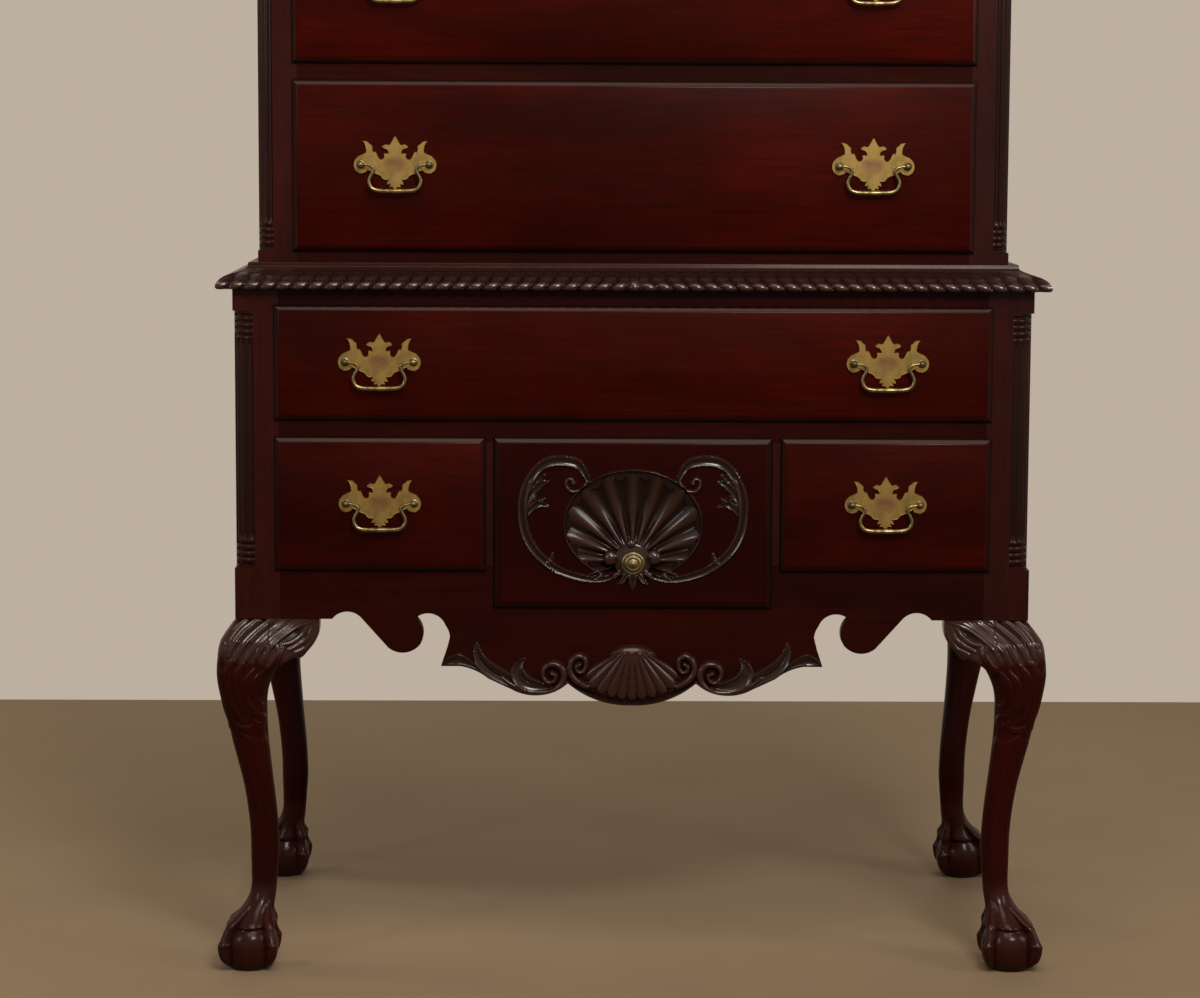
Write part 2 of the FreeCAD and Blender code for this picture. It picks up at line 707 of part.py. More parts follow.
def bonnet_edge():
    """The left half of the pediment's upper edge, down into the well at the middle."""
    cover = 0.8 * CORNICE_HEIGHT
    edge = [(-UPPER_HALF, UPPER_TOP), (-UPPER_HALF, UPPER_TOP + cover)]
    for k in range(NECK_STEPS + 1):
        at, along = neck_curve(k / NECK_STEPS)
        edge.append((at.x - along.z * cover, at.z + along.x * cover))
    end_x = 1.6 * ROSETTE_RADIUS - NECK_END_FROM_MIDDLE
    top = UPPER_TOP + NECK_RISE + cover
    edge.append((end_x, top))
    edge.append((end_x - 8.0, top - 0.5 * BONNET_WELL_DEPTH))
    edge.append((-PLINTH_HALF, top - BONNET_WELL_DEPTH))
    return edge


def pediment_board():
    """The scrolled board that fills the pediment, flush with the case front."""
    left = bonnet_edge()
    right = [(-x, z) for x, z in reversed(left)]
    return front_prism(left + right, UPPER_FRONT, UPPER_FRONT + PEDIMENT_THICK)


def bonnet():
    """The hood behind the pediment: its roof on each side, the well and the rear board."""
    outer = bonnet_edge()[1:]
    front = UPPER_FRONT + PEDIMENT_THICK
    rear = BACK - PEDIMENT_THICK
    inner = []
    for k, (x, z) in enumerate(outer):
        before = outer[max(k - 1, 0)]
        after = outer[min(k + 1, len(outer) - 1)]
        length = math.hypot(after[0] - before[0], after[1] - before[1])
        drop_x = BONNET_SKIN * (after[1] - before[1]) / length
        drop_z = -BONNET_SKIN * (after[0] - before[0]) / length
        inner.append((x + drop_x, z + drop_z))
    inner[0] = (outer[0][0], outer[0][1] - BONNET_SKIN)
    inner[-1] = (outer[-1][0], outer[-1][1] - BONNET_SKIN)
    roof = front_prism(outer + inner[::-1], front, rear)
    floor_z = outer[-1][1]
    well_floor = block(-PLINTH_HALF, PLINTH_HALF, front, rear, floor_z - BONNET_SKIN, floor_z)
    side_wall = block(
        -UPPER_HALF, BONNET_SKIN - UPPER_HALF, front, rear, UPPER_TOP, outer[0][1] - BONNET_SKIN)
    rear_board = moved(pediment_board(), 0, rear - UPPER_FRONT, 0)
    return both_sides(roof) + both_sides(side_wall) + [well_floor, rear_board]


def turned_ring(x, y, z, radius):
    """One level ring of a turned finial."""
    return ring(x, y, z, radius, URN_SIDES, math.pi / URN_SIDES)


def finial(x, y, z, plinth_height, height):
    """A square plinth, a turned urn and a flame."""
    half = PLINTH_HALF
    plinth = block(x - half, x + half, y - half, y + half, z, z + plinth_height)
    foot_z = z + plinth_height
    urn_share = 0.42
    urn = ((0.62, 0.0), (0.62, 0.06), (0.26, 0.18), (0.80, 0.42), (1.0, 0.66), (0.92, 0.80),
           (0.44, 0.90), (0.50, 1.0))
    rings = [turned_ring(x, y, foot_z + share * urn_share * height, radius * URN_RADIUS)
             for radius, share in urn]
    body = ruled(rings)
    flame_z = foot_z + urn_share * height
    flame = ((0.40, 0.0), (0.66, 0.22), (0.58, 0.50), (0.32, 0.78), (0.06, 1.0))
    tongues = []
    for radius, share in flame:
        level = flame_z + share * (1 - urn_share) * height
        tongues.append(ring(x, y, level, radius * URN_RADIUS, FLAME_SIDES))
    return [plinth, body, ruled(tongues)]


def finials():
    """Corner finials on the cornice and a taller one in the middle of the well."""
    corner_x = UPPER_HALF + CORNICE_PROUD - PLINTH_HALF - FINIAL_INSET
    corner_y = UPPER_FRONT - CORNICE_PROUD + PLINTH_HALF + FINIAL_INSET
    corner_z = UPPER_TOP + CORNICE_HEIGHT
    pieces = finial(-corner_x, corner_y, corner_z, PLINTH_HEIGHT, FINIAL_HEIGHT)
    pieces += finial(corner_x, corner_y, corner_z, PLINTH_HEIGHT, FINIAL_HEIGHT)
    well_z = bonnet_edge()[-1][1]
    pieces += finial(0.0, UPPER_FRONT + PLINTH_HALF, well_z, CENTRE_PLINTH_HEIGHT, CENTRE_FINIAL_HEIGHT)
    return pieces


# ------------------------------------------------------------------------ upper case
def upper_sides():
    """The two side boards of the upper case."""
    side = block(-UPPER_HALF, SIDE_BOARD - UPPER_HALF, UPPER_STILE_BACK, BACK, CASE_TOP, UPPER_TOP)
    return both_sides(side)


def upper_stile():
    """The left front corner post, notched for its column."""
    post = block(-UPPER_HALF, -UPPER_OPENING_HALF, UPPER_FRONT, UPPER_STILE_BACK, CASE_TOP, UPPER_TOP)
    low = CASE_TOP + UPPER_COLUMN_BASE_RISE
    high = UPPER_TOP - UPPER_COLUMN_TOP_DROP
    edge_x = UPPER_COLUMN_RADIUS - UPPER_HALF
    edge_y = UPPER_FRONT + UPPER_COLUMN_RADIUS
    return post.cut(block(-UPPER_HALF - 1, edge_x, UPPER_FRONT - 1, edge_y, low, high))


def upper_frame():
    """Corner posts, rails between the drawers, dividers of the top row and the case boards."""
    half = UPPER_OPENING_HALF
    deep = UPPER_STILE_BACK
    pieces = both_sides(upper_stile())
    pieces.append(block(-half, half, UPPER_FRONT, deep, CASE_TOP, UPPER_SILLS[0]))
    for sill in UPPER_SILLS[1:]:
        pieces.append(block(-half, half, UPPER_FRONT, deep, sill - UPPER_RAIL, sill))
    pieces.append(block(-half, half, UPPER_FRONT, deep, TOP_ROW_TOP, UPPER_TOP))
    divider = block(
        -TOP_PARTITION_OUT, -TOP_SHELL_HALF, UPPER_FRONT, UPPER_FRONT + APRON_THICK,
        TOP_ROW_SILL, TOP_ROW_TOP)
    pieces += both_sides(divider)
    inside = UPPER_HALF - SIDE_BOARD
    pieces.append(block(-inside, inside, deep, UPPER_BACK_FACE, CASE_TOP, CASE_TOP + CASE_BOARD))
    pieces.append(block(-inside, inside, deep, UPPER_BACK_FACE, UPPER_TOP - CASE_BOARD, UPPER_TOP))
    return pieces


def upper_runners():
    """What the six upper drawers slide on."""
    inside = UPPER_HALF - SIDE_BOARD
    pieces = []
    for sill in UPPER_SILLS:
        pieces += runner_pair(UPPER_OPENING_HALF, inside, UPPER_STILE_BACK, UPPER_BACK_FACE, sill)
    pieces += partition_run(
        TOP_SHELL_HALF, TOP_PARTITION_OUT, UPPER_STILE_BACK, UPPER_BACK_FACE,
        TOP_ROW_SILL - RUNNER_THICK, TOP_ROW_TOP, TOP_ROW_SILL, TOP_ROW_SILL,
    )
    return pieces


def back_boards():
    """The backs of both cases."""
    lower = block(-OPENING_HALF, OPENING_HALF, LOWER_BACK_FACE, BACK, FLOOR_TO_CASE, CASE_TOP)
    inside = UPPER_HALF - SIDE_BOARD
    upper = block(-inside, inside, UPPER_BACK_FACE, BACK, CASE_TOP, UPPER_TOP)
    return [lower, upper]


# --------------------------------------------------------------------------- drawers
class Drawer:
    """Where one drawer's opening is, and what handles it has."""

    def __init__(self, name, case_front, back_face, x0, x1, sill, height, handles, shell):
        self.name = name
        self.case_front = case_front
        self.back_face = back_face
        self.x0 = x0
        self.x1 = x1
        self.sill = sill
        self.top = sill + height
        self.handles = handles
        self.shell = shell

    def middle(self):
        """Height of the handle posts."""
        return (self.sill + self.top) / 2 + POST_ABOVE_MIDDLE

    def knob_height(self):
        """Height of the knob of a shell drawer."""
        return self.sill - LIP_OVERLAP + SHELL_KNOB_ABOVE_LIP

    def face(self):
        """Depth of the flat front of the drawer."""
        return self.case_front - LIP_THICK


def drawers():
    """All ten drawers, from the base up."""
    half = OPENING_HALF
    long = LONG_OPENING_HEIGHT
    small = SMALL_OPENING_HEIGHT
    found = []
    wide = (LOWER_HANDLE_INSET - half, half - LOWER_HANDLE_INSET)
    low = (FRONT, LOWER_BACK_FACE)
    shell = SHELL_HALF
    deep = small + SHELL_DROP
    found.append(Drawer("lower_long", *low, -half, half, LONG_SILL, long, wide, False))
    found.append(Drawer("lower_left", *low, -half, -PARTITION_OUT, SIDE_SILL, small, wide[:1], False))
    found.append(Drawer("lower_shell", *low, -shell, shell, SHELL_SILL, deep, (), True))
    found.append(Drawer("lower_right", *low, PARTITION_OUT, half, SIDE_SILL, small, wide[1:], False))
    half = UPPER_OPENING_HALF
    pair = (UPPER_HANDLE_INSET - half, half - UPPER_HANDLE_INSET)
    high = (UPPER_FRONT, UPPER_BACK_FACE)
    for k, height in enumerate(UPPER_OPENINGS):
        name = "upper_long_%d" % (k + 1)
        found.append(Drawer(name, *high, -half, half, UPPER_SILLS[k], height, pair, False))
    sill = TOP_ROW_SILL
    tall = TOP_ROW_HEIGHT
    middle = (TOP_PARTITION_OUT + half) / 2
    found.append(Drawer("top_left", *high, -half, -TOP_PARTITION_OUT, sill, tall, (-middle,), False))
    found.append(Drawer("top_shell", *high, -TOP_SHELL_HALF, TOP_SHELL_HALF, sill, tall, (), True))
    found.append(Drawer("top_right", *high, TOP_PARTITION_OUT, half, sill, tall, (middle,), False))
    return found


def front_rectangle(drawer, beyond, y):
    """A rectangle around the opening, so far beyond it, at one depth."""
    x0 = drawer.x0 - beyond
    x1 = drawer.x1 + beyond
    z0 = drawer.sill - beyond
    z1 = drawer.top + beyond
    return [V(x0, y, z0), V(x1, y, z0), V(x1, y, z1), V(x0, y, z1)]


def shell_recess(drawer):
    """Tapered hollows that fan out from the knob to a scalloped rim."""
    centre = V((drawer.x0 + drawer.x1) / 2, drawer.face(), drawer.knob_height())
    room = drawer.top - drawer.knob_height() - 2 * LIP_OVERLAP
    long = min(SHELL_SPAN / 2, room / 1.15)
    fan = math.radians(SHELL_FAN_DEGREES)
    step = fan / (SHELL_RIBS - 1)
    flutes = []
    for k in range(SHELL_RIBS):
        angle = (math.pi + fan) / 2 - k * step
        reach = long * (0.98 + 0.12 * math.sin(angle))
        width = reach * math.tan(step / 2)
        out = V(math.cos(angle), 0, math.sin(angle))
        across = V(-out.z, 0, out.x)
        rings = []
        for far, radius in ((4.0, 0.6), (reach - 0.6 * width, width), (reach, 0.55 * width)):
            corners = []
            for j in range(RIB_SIDES):
                turn = j * 2 * math.pi / RIB_SIDES
                offset = across * (radius * math.cos(turn)) + V(0, radius * math.sin(turn), 0)
                corners.append(centre + out * far + offset)
            rings.append(corners)
        flutes.append(ruled(rings))
    return flutes


def drawer_front(drawer):
    """The thumbnail-moulded front, with holes for the handle posts or a carved shell."""
    thick = drawer.case_front + FRONT_THICK
    lip = drawer.case_front
    face = drawer.face()
    rim = LIP_OVERLAP
    rings = [front_rectangle(drawer, rim, lip), front_rectangle(drawer, rim, lip - 0.40 * LIP_THICK)]
    rings.append(front_rectangle(drawer, rim - 1.6, lip - 0.74 * LIP_THICK))
    rings.append(front_rectangle(drawer, rim - 5.2, face))
    panel = ruled(rings)
    core = block(
        drawer.x0 + DRAWER_GAP, drawer.x1 - DRAWER_GAP, lip, thick, drawer.sill, drawer.top - DRAWER_GAP)
    whole = panel.fuse(core)
    holes = [shank_hole(drawer, x) for x in post_places(drawer)]
    if drawer.shell:
        backing = block(
            drawer.x0 + DRAWER_GAP, drawer.x1 - DRAWER_GAP, thick, thick + SHELL_FRONT_EXTRA,
            drawer.sill, drawer.top - DRAWER_GAP)
        whole = whole.fuse(backing)
        holes = shell_recess(drawer) + [knob_hole(drawer)]
    return whole.cut(holes).removeSplitter()


def box_front(drawer):
    """Depth where the drawer's sides meet the back of its front."""
    deep = drawer.case_front + FRONT_THICK
    return deep + SHELL_FRONT_EXTRA if drawer.shell else deep


def drawer_box(drawer):
    """Sides, back and bottom behind the front, each its own board."""
    x0 = drawer.x0 + DRAWER_GAP
    x1 = drawer.x1 - DRAWER_GAP
    near = box_front(drawer)
    far = drawer.back_face - BOX_BACK_GAP
    low = drawer.sill
    high = drawer.top - BOX_SIDE_LOWER
    floor = low + BOX_BOTTOM_RAISED
    left = block(x0, x0 + BOX_SIDE, near, far, low, high)
    right = block(x1 - BOX_SIDE, x1, near, far, low, high)
    rear = block(x0 + BOX_SIDE, x1 - BOX_SIDE, far - BOX_SIDE, far, floor + BOX_BOTTOM, high)
    bottom = block(x0 + BOX_SIDE, x1 - BOX_SIDE, near, far, floor, floor + BOX_BOTTOM)
    return [left, right, rear, bottom]


# -------------------------------------------------------------------------- hardware
def post_places(drawer):
    """Where the handle posts stand along the drawer."""
    places = []
    for x in drawer.handles:
        places += [x - POST_SPACING / 2, x + POST_SPACING / 2]
    return places


def shank_hole(drawer, x):
    """The clearance hole for one post's square shank."""
    z = drawer.middle()
    half = SHANK_HALF + SHANK_CLEARANCE
    far = drawer.case_front + FRONT_THICK + 1.0
    return block(x - half, x + half, drawer.face() - 1.0, far, z - half, z + half)


def plate_points():
    """Right half of the back plate's outline, from its top point round to its bottom one."""
    return (
        (0.0, 36.6), (6.8, 26.0), (17.0, 22.3), (8.5, 14.5), (17.5, 6.4), (26.5, 20.0),
        (41.9, 29.2), (37.1, 16.0), (51.5, 6.0), (51.5, -6.5), (34.5, -8.0), (14.3, -19.1),
        (0.0, -31.3),
    )


def back_plate(drawer, x):
    """A brass plate with a bat-wing outline behind one bail."""
    drawn_spacing = 87.4
    stretch = POST_SPACING / drawn_spacing
    right = [(across * stretch, up) for across, up in plate_points()]
    left = [(-across, up) for across, up in reversed(right[1:-1])]
    z = drawer.middle()
    face = drawer.face()
    outline = [(x + across, z + up) for across, up in right + left]
    plate = front_prism(outline, face - PLATE_THICK, face)
    half = SHANK_HALF + SHANK_CLEARANCE
    holes = []
    for side in (-0.5, 0.5):
        at = x + side * POST_SPACING
        holes.append(block(at - half, at + half, face - PLATE_THICK - 1.0, face + 1.0, z - half, z + half))
    return plate.cut(holes)


def bail_axis(drawer):
    """Depth of the line that a bail swings on."""
    return drawer.face() - PLATE_THICK - POST_STANDOFF


def post(drawer, x, inward):
    """A cast post: head with a blind pin hole on its inner side, collar and square shank."""
    z = drawer.middle()
    axis = bail_axis(drawer)
    plate = drawer.face() - PLATE_THICK
    behind = drawer.case_front + FRONT_THICK + NUT_THICK + SHANK_PAST_NUT
    radius = POST_HEAD_RADIUS
    head = ruled([outward_ring(x, axis - radius, z, 0.5 * radius, 6),
                  outward_ring(x, axis - 0.5 * radius, z, radius, 6),
                  outward_ring(x, plate, z, radius, 6)])
    half = SHANK_HALF
    shank = block(x - half, x + half, plate, behind, z - half, z + half)
    hole = PIN_HOLE_HALF
    mouth = x + inward * (radius + 0.5)
    bottom = x + inward * (radius - PIN_DEPTH)
    cut = block(min(mouth, bottom), max(mouth, bottom), axis - hole, axis + hole, z - hole, z + hole)
    return head.fuse(shank).cut(cut).removeSplitter()


def nut_at(x, near, z):
    """A square nut on a shank."""
    hole = SHANK_HALF + 0.3 * SHANK_CLEARANCE
    body = block(x - NUT_HALF, x + NUT_HALF, near, near + NUT_THICK, z - NUT_HALF, z + NUT_HALF)
    return body.cut(block(x - hole, x + hole, near - 1.0, near + NUT_THICK + 1.0, z - hole, z + hole))


def knob_hole(drawer):
    """The hole for the knob's square shank."""
    x = (drawer.x0 + drawer.x1) / 2
    z = drawer.knob_height()
    half = SHANK_HALF + SHANK_CLEARANCE
    return block(x - half, x + half, drawer.face() - 1.0, box_front(drawer) + 1.0, z - half, z + half)


def knob(drawer):
    """A turned brass knob: foot, neck, domed head, and its shank and nut."""
    x = (drawer.x0 + drawer.x1) / 2
    z = drawer.knob_height()
    seat = drawer.face()
    far = box_front(drawer)
    turned = ((0.60, 0.0), (0.36, 0.26), (0.42, 0.46), (0.96, 0.66), (1.0, 0.76), (0.80, 0.92),
              (0.30, 1.0))
    rings = []
    for radius, share in turned:
        y = seat - share * KNOB_LENGTH
        rings.append(outward_ring(x, y, z, radius * KNOB_RADIUS, KNOB_SIDES))
    end = far + NUT_THICK + SHANK_PAST_NUT
    half = SHANK_HALF
    shank = block(x - half, x + half, seat, end, z - half, z + half)
    return [ruled(rings).fuse(shank).removeSplitter(), nut_at(x, far, z)]


def hardware(drawer):
    """Everything of brass that is fixed to one drawer."""
    if drawer.shell:
        return knob(drawer)
    pieces = [back_plate(drawer, x) for x in drawer.handles]
    for x in drawer.handles:
        pieces.append(post(drawer, x - POST_SPACING / 2, 1))
        pieces.append(post(drawer, x + POST_SPACING / 2, -1))
    near = drawer.case_front + FRONT_THICK
    pieces += [nut_at(x, near, drawer.middle()) for x in post_places(drawer)]
    return pieces


def bail_route():
    """Right half of the bail: distance from the middle, height below the pins, thickness."""
    mouth = POST_SPACING / 2 - POST_HEAD_RADIUS
    drop = BAIL_DROP
    swell = 0.5 * (BAIL_NECK + BAIL_BELLY)
    return (
        (mouth + PIN_DEPTH - PIN_END_GAP, 0.0, PIN_RADIUS),
        (mouth - 1.0, 0.0, PIN_RADIUS),
        (mouth - 11.0, -0.13 * drop, BAIL_NECK + 0.3),
        (mouth - 6.6, -0.58 * drop, swell),
        (mouth - 12.0, -0.90 * drop, BAIL_BELLY - 0.4),
        (mouth - 26.0, -drop, BAIL_BELLY),
    )


def bail(drawer, x):
    """A swan-neck bail, thickest at the bottom, with a pin at each end."""
    right = list(bail_route())
    left = [(-across, down, thick) for across, down, thick in right]
    route = left + right[::-1]
    y = bail_axis(drawer)
    z = drawer.middle()
    rings = []
    for k, (across, down, thick) in enumerate(route):
        ahead = route[min(k + 1, len(route) - 1)]
        behind = route[max(k - 1, 0)]
        along = V(ahead[0] - behind[0], 0, ahead[1] - behind[1]).normalize()
        if k in (0, 1, len(route) - 2, len(route) - 1):
            along = V(1, 0, 0)
        side = V(-along.z, 0, along.x)
        corners = []
        for j in range(6):
            angle = j * math.pi / 3
            offset = side * (thick * math.cos(angle)) + V(0, thick * math.sin(angle), 0)
            corners.append(V(x + across, y, z + down) + offset)
        rings.append(corners)
    return ruled(rings)


# ------------------------------------------------------------------------- the model
def save_case():
    """Write every piece that stays with the two cases."""
    front_leg = leg(True)
    rear_leg = flip_y(leg(False))
    save("leg_front_left", [front_leg])
    save("leg_front_right", [flip_x(front_leg)])
    save("leg_rear_left", [rear_leg])
    save("leg_rear_right", [flip_x(rear_leg)])
    save("knee_brackets", knee_brackets())
    save("apron", [apron()])
    save("lower_sides", both_sides(lower_side()))
    save("lower_rails", lower_frame())
    save("lower_runners", lower_runners())
    save("waist_moulding", waist_moulding())
    save("quarter_columns", quarter_columns())
    save("upper_sides", upper_sides())
    save("upper_frame", upper_frame())
    save("upper_runners", upper_runners())
    save("back_boards", back_boards())
    save("cornice", cornice())
    save("bonnet", [pediment_board()] + bonnet())
    save("finials", finials())


def save_drawers():
    """Write each drawer's front, box and brass, and its bails."""
    for drawer in drawers():
        save(drawer.name + "_front", [drawer_front(drawer)])
        save(drawer.name + "_box", drawer_box(drawer))
        save(drawer.name + "_brass", hardware(drawer))
        for x in drawer.handles:
            side = "_left" if x < 0 else "_right"
            tail = side if len(drawer.handles) > 1 else ""
            save("bail_" + drawer.name + tail, [bail(drawer, x)])


os.makedirs("parts", exist_ok=True)
save_case()
save_drawers()
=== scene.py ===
"""Looks of a mahogany highboy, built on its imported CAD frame.

The front faces -Y and +Z is up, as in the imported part. Surfaces and lines of ornament
are written in millimetres, and a surface turns into metres when it becomes an object.
"""

from __future__ import annotations

import json
import logging
import math
from dataclasses import dataclass, field
from enum import Enum
from typing import Iterable, Sequence

import bmesh
import bpy
import numpy as np
from mathutils import Matrix, Vector

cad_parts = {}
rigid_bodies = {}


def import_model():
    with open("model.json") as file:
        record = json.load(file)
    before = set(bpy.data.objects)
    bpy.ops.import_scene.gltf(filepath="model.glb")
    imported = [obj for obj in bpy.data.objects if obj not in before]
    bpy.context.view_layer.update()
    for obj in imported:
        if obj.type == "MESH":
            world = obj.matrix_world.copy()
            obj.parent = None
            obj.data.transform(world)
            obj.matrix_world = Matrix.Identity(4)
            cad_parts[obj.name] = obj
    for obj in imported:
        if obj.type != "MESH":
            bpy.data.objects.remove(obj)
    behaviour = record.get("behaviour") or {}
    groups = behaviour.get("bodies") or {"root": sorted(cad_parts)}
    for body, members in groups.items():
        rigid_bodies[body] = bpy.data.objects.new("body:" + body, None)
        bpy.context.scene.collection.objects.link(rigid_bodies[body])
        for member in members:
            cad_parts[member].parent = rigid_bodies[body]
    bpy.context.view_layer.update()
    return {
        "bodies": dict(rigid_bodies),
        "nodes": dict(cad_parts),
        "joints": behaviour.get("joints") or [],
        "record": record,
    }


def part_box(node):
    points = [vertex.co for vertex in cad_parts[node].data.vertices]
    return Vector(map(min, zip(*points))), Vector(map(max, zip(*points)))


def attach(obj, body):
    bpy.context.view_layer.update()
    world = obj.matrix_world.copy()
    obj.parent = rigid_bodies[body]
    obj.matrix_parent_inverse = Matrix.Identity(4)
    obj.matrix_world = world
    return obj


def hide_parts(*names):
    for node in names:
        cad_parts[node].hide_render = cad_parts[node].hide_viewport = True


LOG = logging.getLogger("highboy")
MM = 0.001

Array = np.ndarray
Point2 = tuple[float, float]
Point3 = tuple[float, float, float]
Line = tuple[Point2, ...]
Strip = tuple[Point3, ...]
Colour = tuple[float, float, float]
Socket = bpy.types.NodeSocket


# ---- lines and surfaces
def smooth_line(points: Sequence[Point2], per_span: int = 8) -> Array:
    """A smooth curve through the points.

    Args:
        points: Two or more places, of any number of coordinates.
        per_span: Steps between one place and the next.

    Returns:
        One row per step, the first and last on the end points.
    """
    given = np.asarray(points, float)
    if len(given) < 3:
        share = np.linspace(0, 1, per_span + 1)[:, None]
        return given[0] * (1 - share) + given[-1] * share
    ends = np.vstack([2 * given[0] - given[1], given, 2 * given[-1] - given[-2]])
    knots = np.concatenate([[0],
                            np.cumsum(np.linalg.norm(np.diff(ends, axis=0),
                                                     axis=1) ** 0.5 + 1e-9)])
    rows = []
    for k in range(1, len(ends) - 2):
        t = np.linspace(knots[k], knots[k + 1], per_span + 1)[:-1, None]
        t0, t1, t2, t3 = knots[k - 1 : k + 3]
        p0, p1, p2, p3 = ends[k - 1 : k + 3]
        a1 = p0 * (t1 - t) / (t1 - t0) + p1 * (t - t0) / (t1 - t0)
        a2 = p1 * (t2 - t) / (t2 - t1) + p2 * (t - t1) / (t2 - t1)
        a3 = p2 * (t3 - t) / (t3 - t2) + p3 * (t - t2) / (t3 - t2)
        b1 = a1 * (t2 - t) / (t2 - t0) + a2 * (t - t0) / (t2 - t0)
        b2 = a2 * (t3 - t) / (t3 - t1) + a3 * (t - t1) / (t3 - t1)
        rows.append(b1 * (t2 - t) / (t2 - t1) + b2 * (t - t1) / (t2 - t1))
    rows.append(given[-1:])
    return np.vstack(rows)


def arc_line(start: Point2, middle: Point2, end: Point2, steps: int = 14) -> Array:
    """A round edge through three places.

    Args:
        start: First end.
        middle: A place that it runs through.
        end: Last end.
        steps: Straight steps along it.

    Returns:
        Rows of two coordinates.
    """
    (ax, ay), (bx, by), (cx, cy) = start, middle, end
    d = 2 * (ax * (by - cy) + bx * (cy - ay) + cx * (ay - by))
    sa, sb, sc = ax * ax + ay * ay, bx * bx + by * by, cx * cx + cy * cy
    ux = (sa * (by - cy) + sb * (cy - ay) + sc * (ay - by)) / d
    uy = (sa * (cx - bx) + sb * (ax - cx) + sc * (bx - ax)) / d
    first = math.atan2(ay - uy, ax - ux)
    turn = (math.atan2(cy - uy, cx - ux) - first) % (2 * math.pi)
    mid = (math.atan2(by - uy, bx - ux) - first) % (2 * math.pi)
    if mid > turn:
        turn -= 2 * math.pi
    angle = first + turn * np.linspace(0, 1, steps + 1)
    radius = math.hypot(ax - ux, ay - uy)
    return np.stack([ux + radius * np.cos(angle), uy + radius * np.sin(angle)], 1)


